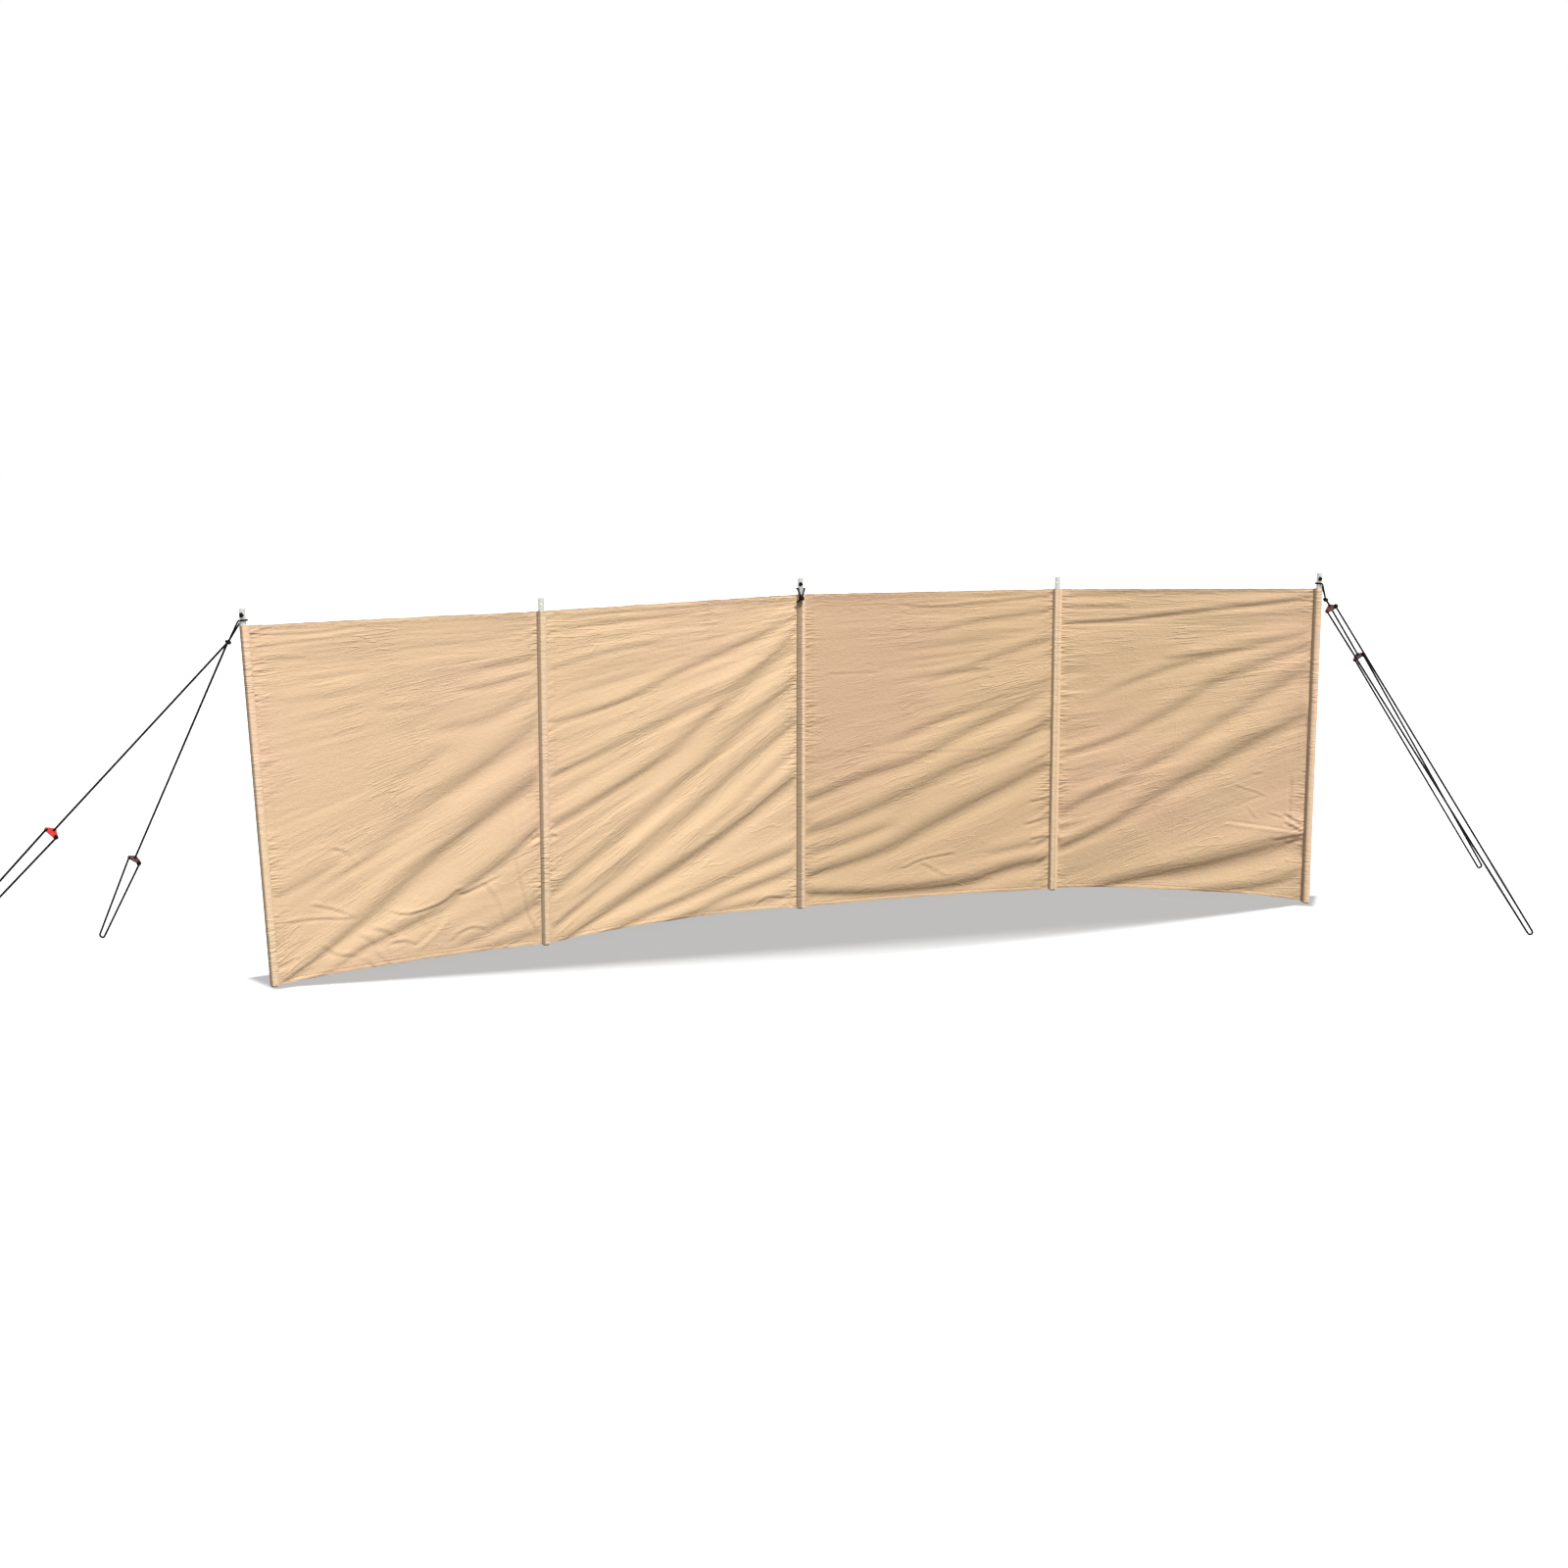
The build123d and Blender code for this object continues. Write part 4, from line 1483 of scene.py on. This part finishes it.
for name, (post, pull) in COLLARS.items():
    strand, seat, out = collar_strand(post)
    stopper = tight_knot(seat + out * STOPPER_REACH, out, STOPPER_SIZE)
    collar = make_cord(f"cord_collar_{name}", [collar_loop(name), strand, stopper], COLLAR_CORD)
    finish_piece(collar, [f"collar_{name}"])
    knot = knot_centre(name)
    ties = [tight_knot(knot, KNOT_LEAN, KNOT_SIZE)]
    if name == "middle":
        ties.append(([knot, knot + TAIL], [0, 0], False))
    tied = make_cord(f"tied_knot_{name}", ties, KNOT_CORD)
    finish_piece(tied, [f"collar_knot_{name}"])
    print(name, "collar and knot:", len(collar.data.polygons) + len(tied.data.polygons), "faces")

# %% [markdown]
# A runner is a small moulded plate with three eyes. The cord's friction in them
# holds the guy tight. A flat curve with its eyes as holes gives its shape, and
# Blender's curve settings give its thickness and its rounded edge.

# %% The shape of a runner
HALF_SPAN = 0.023
RISE = 0.015
EYE_RIM = 0.0085
EYE = 0.0050
EYE_POINTS = 28
PLATE = 0.005
PLATE_EDGE = 0.0009
MERGE_DISTANCE = 0.00001


def circle(centre, radius):
    turns = [2 * pi * number / EYE_POINTS for number in range(EYE_POINTS)]
    return [(centre[0] + radius * cos(turn), centre[1] + radius * sin(turn)) for turn in turns]


def plate_mesh(name):
    """A plate with its tips' eyes on a line across the guy and the third eye before them."""
    flat = bpy.data.curves.new(name, "CURVE")
    flat.dimensions, flat.fill_mode = "2D", "BOTH"
    flat.bevel_depth, flat.bevel_resolution, flat.offset = PLATE_EDGE, 2, -PLATE_EDGE
    flat.extrude = PLATE / 2 - PLATE_EDGE
    eyes = [(0, -HALF_SPAN), (-RISE, 0), (0, HALF_SPAN)]
    rims = [point for eye in eyes for point in circle(eye, EYE_RIM)]
    outline = [rims[number] for number in convex_hull_2d(rims)]
    for loop in [outline] + [circle(eye, EYE) for eye in eyes]:
        add_line(flat, [(*point, 0) for point in loop], closed=True)
    return mesh_from(flat)


def merge_seams(mesh):
    """Joins a mesh's loose edges, turns its faces outwards and says how many edges stay open."""
    shell = bmesh.new()
    shell.from_mesh(mesh)
    bmesh.ops.remove_doubles(shell, verts=shell.verts, dist=MERGE_DISTANCE)
    bmesh.ops.recalc_face_normals(shell, faces=shell.faces)
    open_edges = sum(not edge.is_manifold for edge in shell.edges)
    shell.to_mesh(mesh)
    shell.free()
    return open_edges


print("a runner is", round((HALF_SPAN + EYE_RIM) * 2000), "mm across")

# %% [markdown]
# A guy runs from its collar's knot through the runner's bend, through one tip,
# round the peg and back to the other tip, where a stopper knot holds it. It is
# taut, so it is straight between its bends. Where it crosses the plate it lies a
# hair off it on either side.

# %% The line of a guy
BIGHT = 0.010
GUY_CORD = 0.0043
CREST = 1.13
GUY_START = 0.012
GUY_START_BEND = 0.003
GUY_END_LIFT = 0.002
LIFT = PLATE / 2 + GUY_CORD * CREST + CORD_GAP
GUYS = {"left_front": "left", "left_back": "left", "right_back": "right", "right_front": "right"}


class GuyLine:
    """Where a guy runs: its way, the directions across it, and how far along it its runner is."""

    def __init__(self, name):
        self.start, end = knot_centre(GUYS[name]), mounts[f"peg_loop_{name}"]
        self.length = (end - self.start).length
        self.way = (end - self.start).normalized()
        front = Vector((0, -1, 0))
        self.face = (front - self.way * front.dot(self.way)).normalized()
        self.side = self.face.cross(self.way)
        corners = corner_array(f"runner_{name}") - np.array(self.start)
        self.tips = float((corners @ np.array(self.way)).max()) - EYE_RIM

    def at(self, along, across, off):
        return self.start + self.way * along + self.side * across + self.face * off

    def route(self):
        """The cord's corners and the bend at each, from the knot to its end at the second tip."""
        at, tips, bend = self.at, self.tips, self.tips - RISE
        eye_bend, peg_bend = LIFT * BEND_SHARE, BIGHT * BEND_SHARE
        corners = [
            (at(0, 0, 0), 0),
            (at(GUY_START, 0, LIFT), GUY_START_BEND),
            (at(bend, 0, LIFT), eye_bend),
            (at(bend, 0, -LIFT), eye_bend),
            (at(tips, -HALF_SPAN, -LIFT), eye_bend),
            (at(tips, -HALF_SPAN, LIFT), eye_bend),
            (at(self.length, -BIGHT, 0), peg_bend),
            (at(self.length, BIGHT, 0), peg_bend),
            (at(tips, HALF_SPAN, -LIFT), eye_bend),
            (at(tips, HALF_SPAN, LIFT + GUY_END_LIFT), 0),
        ]
        return [corner for corner, _ in corners], [radius for _, radius in corners], False


# %% Runners, guys and their stoppers
RED_RUNNER = "left_front"


def runner(name, line):
    mesh = plate_mesh(f"plate_{name}")
    open_edges = merge_seams(mesh)
    turned = Matrix((line.way, line.side, line.face)).transposed()
    mesh.transform(Matrix.Translation(line.at(line.tips, 0, 0)) @ turned.to_4x4())
    plate = add_piece(f"plate_{name}", mesh)
    dress(plate, red if name == RED_RUNNER else brown)
    finish_piece(plate, [f"runner_{name}"])
    print(name, "runner at", round(line.tips, 3), "m, with", open_edges, "open edges")


def guy(name, line):
    cord = make_cord(f"cord_{name}", [line.route()], GUY_CORD)
    finish_piece(cord, [f"guy_{name}"])
    let_floor_light_pass(cord)
    seat = line.at(line.tips, HALF_SPAN, PLATE / 2 + STOPPER_REACH)
    stopper = make_cord(f"cord_stopper_{name}", [tight_knot(seat, line.face, STOPPER_SIZE)])
    finish_piece(stopper, [f"runner_knot_{name}"])
    print(name, "guy", round(line.length, 3), "m,", len(cord.data.polygons), "faces")


for name in GUYS:
    line = GuyLine(name)
    runner(name, line)
    guy(name, line)

# %% [markdown]
# Stitches are the same little shape thousands of times, so Geometry Nodes sets
# one on every point of a seam line and turns it along the line. Each stitch has
# only a few faces, because there are so many of them.

# %% A recipe for stitches
STITCH_PITCH = 0.0052
STITCH_LENGTH = 0.0034
STITCH_WIDTH = 0.0009

stitches = Recipe("stitches", {"Seams": "Geometry", "Pitch": STITCH_PITCH, "Length": STITCH_LENGTH,
                               "Width": STITCH_WIDTH, "Finish": "Material"})
even = stitches.add("GeometryNodeResampleCurve", {"mode": "LENGTH"},
                    {"Curve": stitches.given["Seams"], "Length": stitches.given["Pitch"]})
bead = stitches.add("GeometryNodeMeshUVSphere", None, {"Segments": 4, "Rings": 2, "Radius": 0.5})
width, length = stitches.given["Width"], stitches.given["Length"]
scale = stitches.add("ShaderNodeCombineXYZ", None, {0: width, 1: width, 2: length})
thread = stitches.add("GeometryNodeTransform", None, {"Geometry": bead, "Scale": scale})
way = stitches.add("GeometryNodeInputTangent")
turned = stitches.add("FunctionNodeAlignRotationToVector", {"axis": "Z"}, {"Vector": way})
placed = stitches.add("GeometryNodeInstanceOnPoints", None,
                      {"Points": even, "Instance": thread, "Rotation": turned})
stitches.close(placed, "Stitches")
print("stitch inputs:", list(stitches.given))

# %% Sew the seams
SEAM_POINTS = 260
HEM_POINTS = 220
SEAM_ENDS = (0.004, 0.996)
SEAM_LIFT = 0.0008
HEM_LIFT = 0.0014
SEAM_INSET = 0.0008
WING_INSET = 0.004
HEM_INSET = 0.003


def seam_paths(bay):
    """Lines on the front of a bay: beside both posts, at the wings' ends and along the hems."""
    up = np.linspace(*SEAM_ENDS, SEAM_POINTS)[:, None]
    lines = []
    for distance in (SEAM + SEAM_INSET, WING_REACH - WING_INSET):
        for place in (distance, bay.span - distance):
            x = np.array([[place]])
            height = bay.height(x, up)
            x = x + 0 * height
            lines.append(bay.place(x, height, relief(bay, x, height) + SEAM_LIFT)[:, 0])
    x = np.linspace(WING_REACH, bay.span - WING_REACH, HEM_POINTS)[None, :]
    low, high = bay.edges(x)
    for height in (low + HEM - HEM_INSET, high - HEM + HEM_INSET):
        lines.append(bay.place(x, height, relief(bay, x, height) + HEM_LIFT)[0])
    return lines


seams = bpy.data.curves.new("seams", "CURVE")
seams.dimensions = "3D"
for bay in bays:
    for line in seam_paths(bay):
        add_line(seams, line)
thread_finish = plain_finish("thread", tone(196, 162, 126), 0.8, 0.0, 900, 0.06)
sewing = add_piece("seam_stitches", mesh_from(seams, stitches, Finish=thread_finish))
finish_piece(sewing)
print("stitches:", len(sewing.data.polygons), "faces")

# %% [markdown]
# Last, the triangles of all the shown pieces are counted.

# %% Count the triangles
total = 0
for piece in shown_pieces():
    if piece.type == "MESH":
        piece.data.calc_loop_triangles()
        total += len(piece.data.loop_triangles)
print("triangles in all:", total)
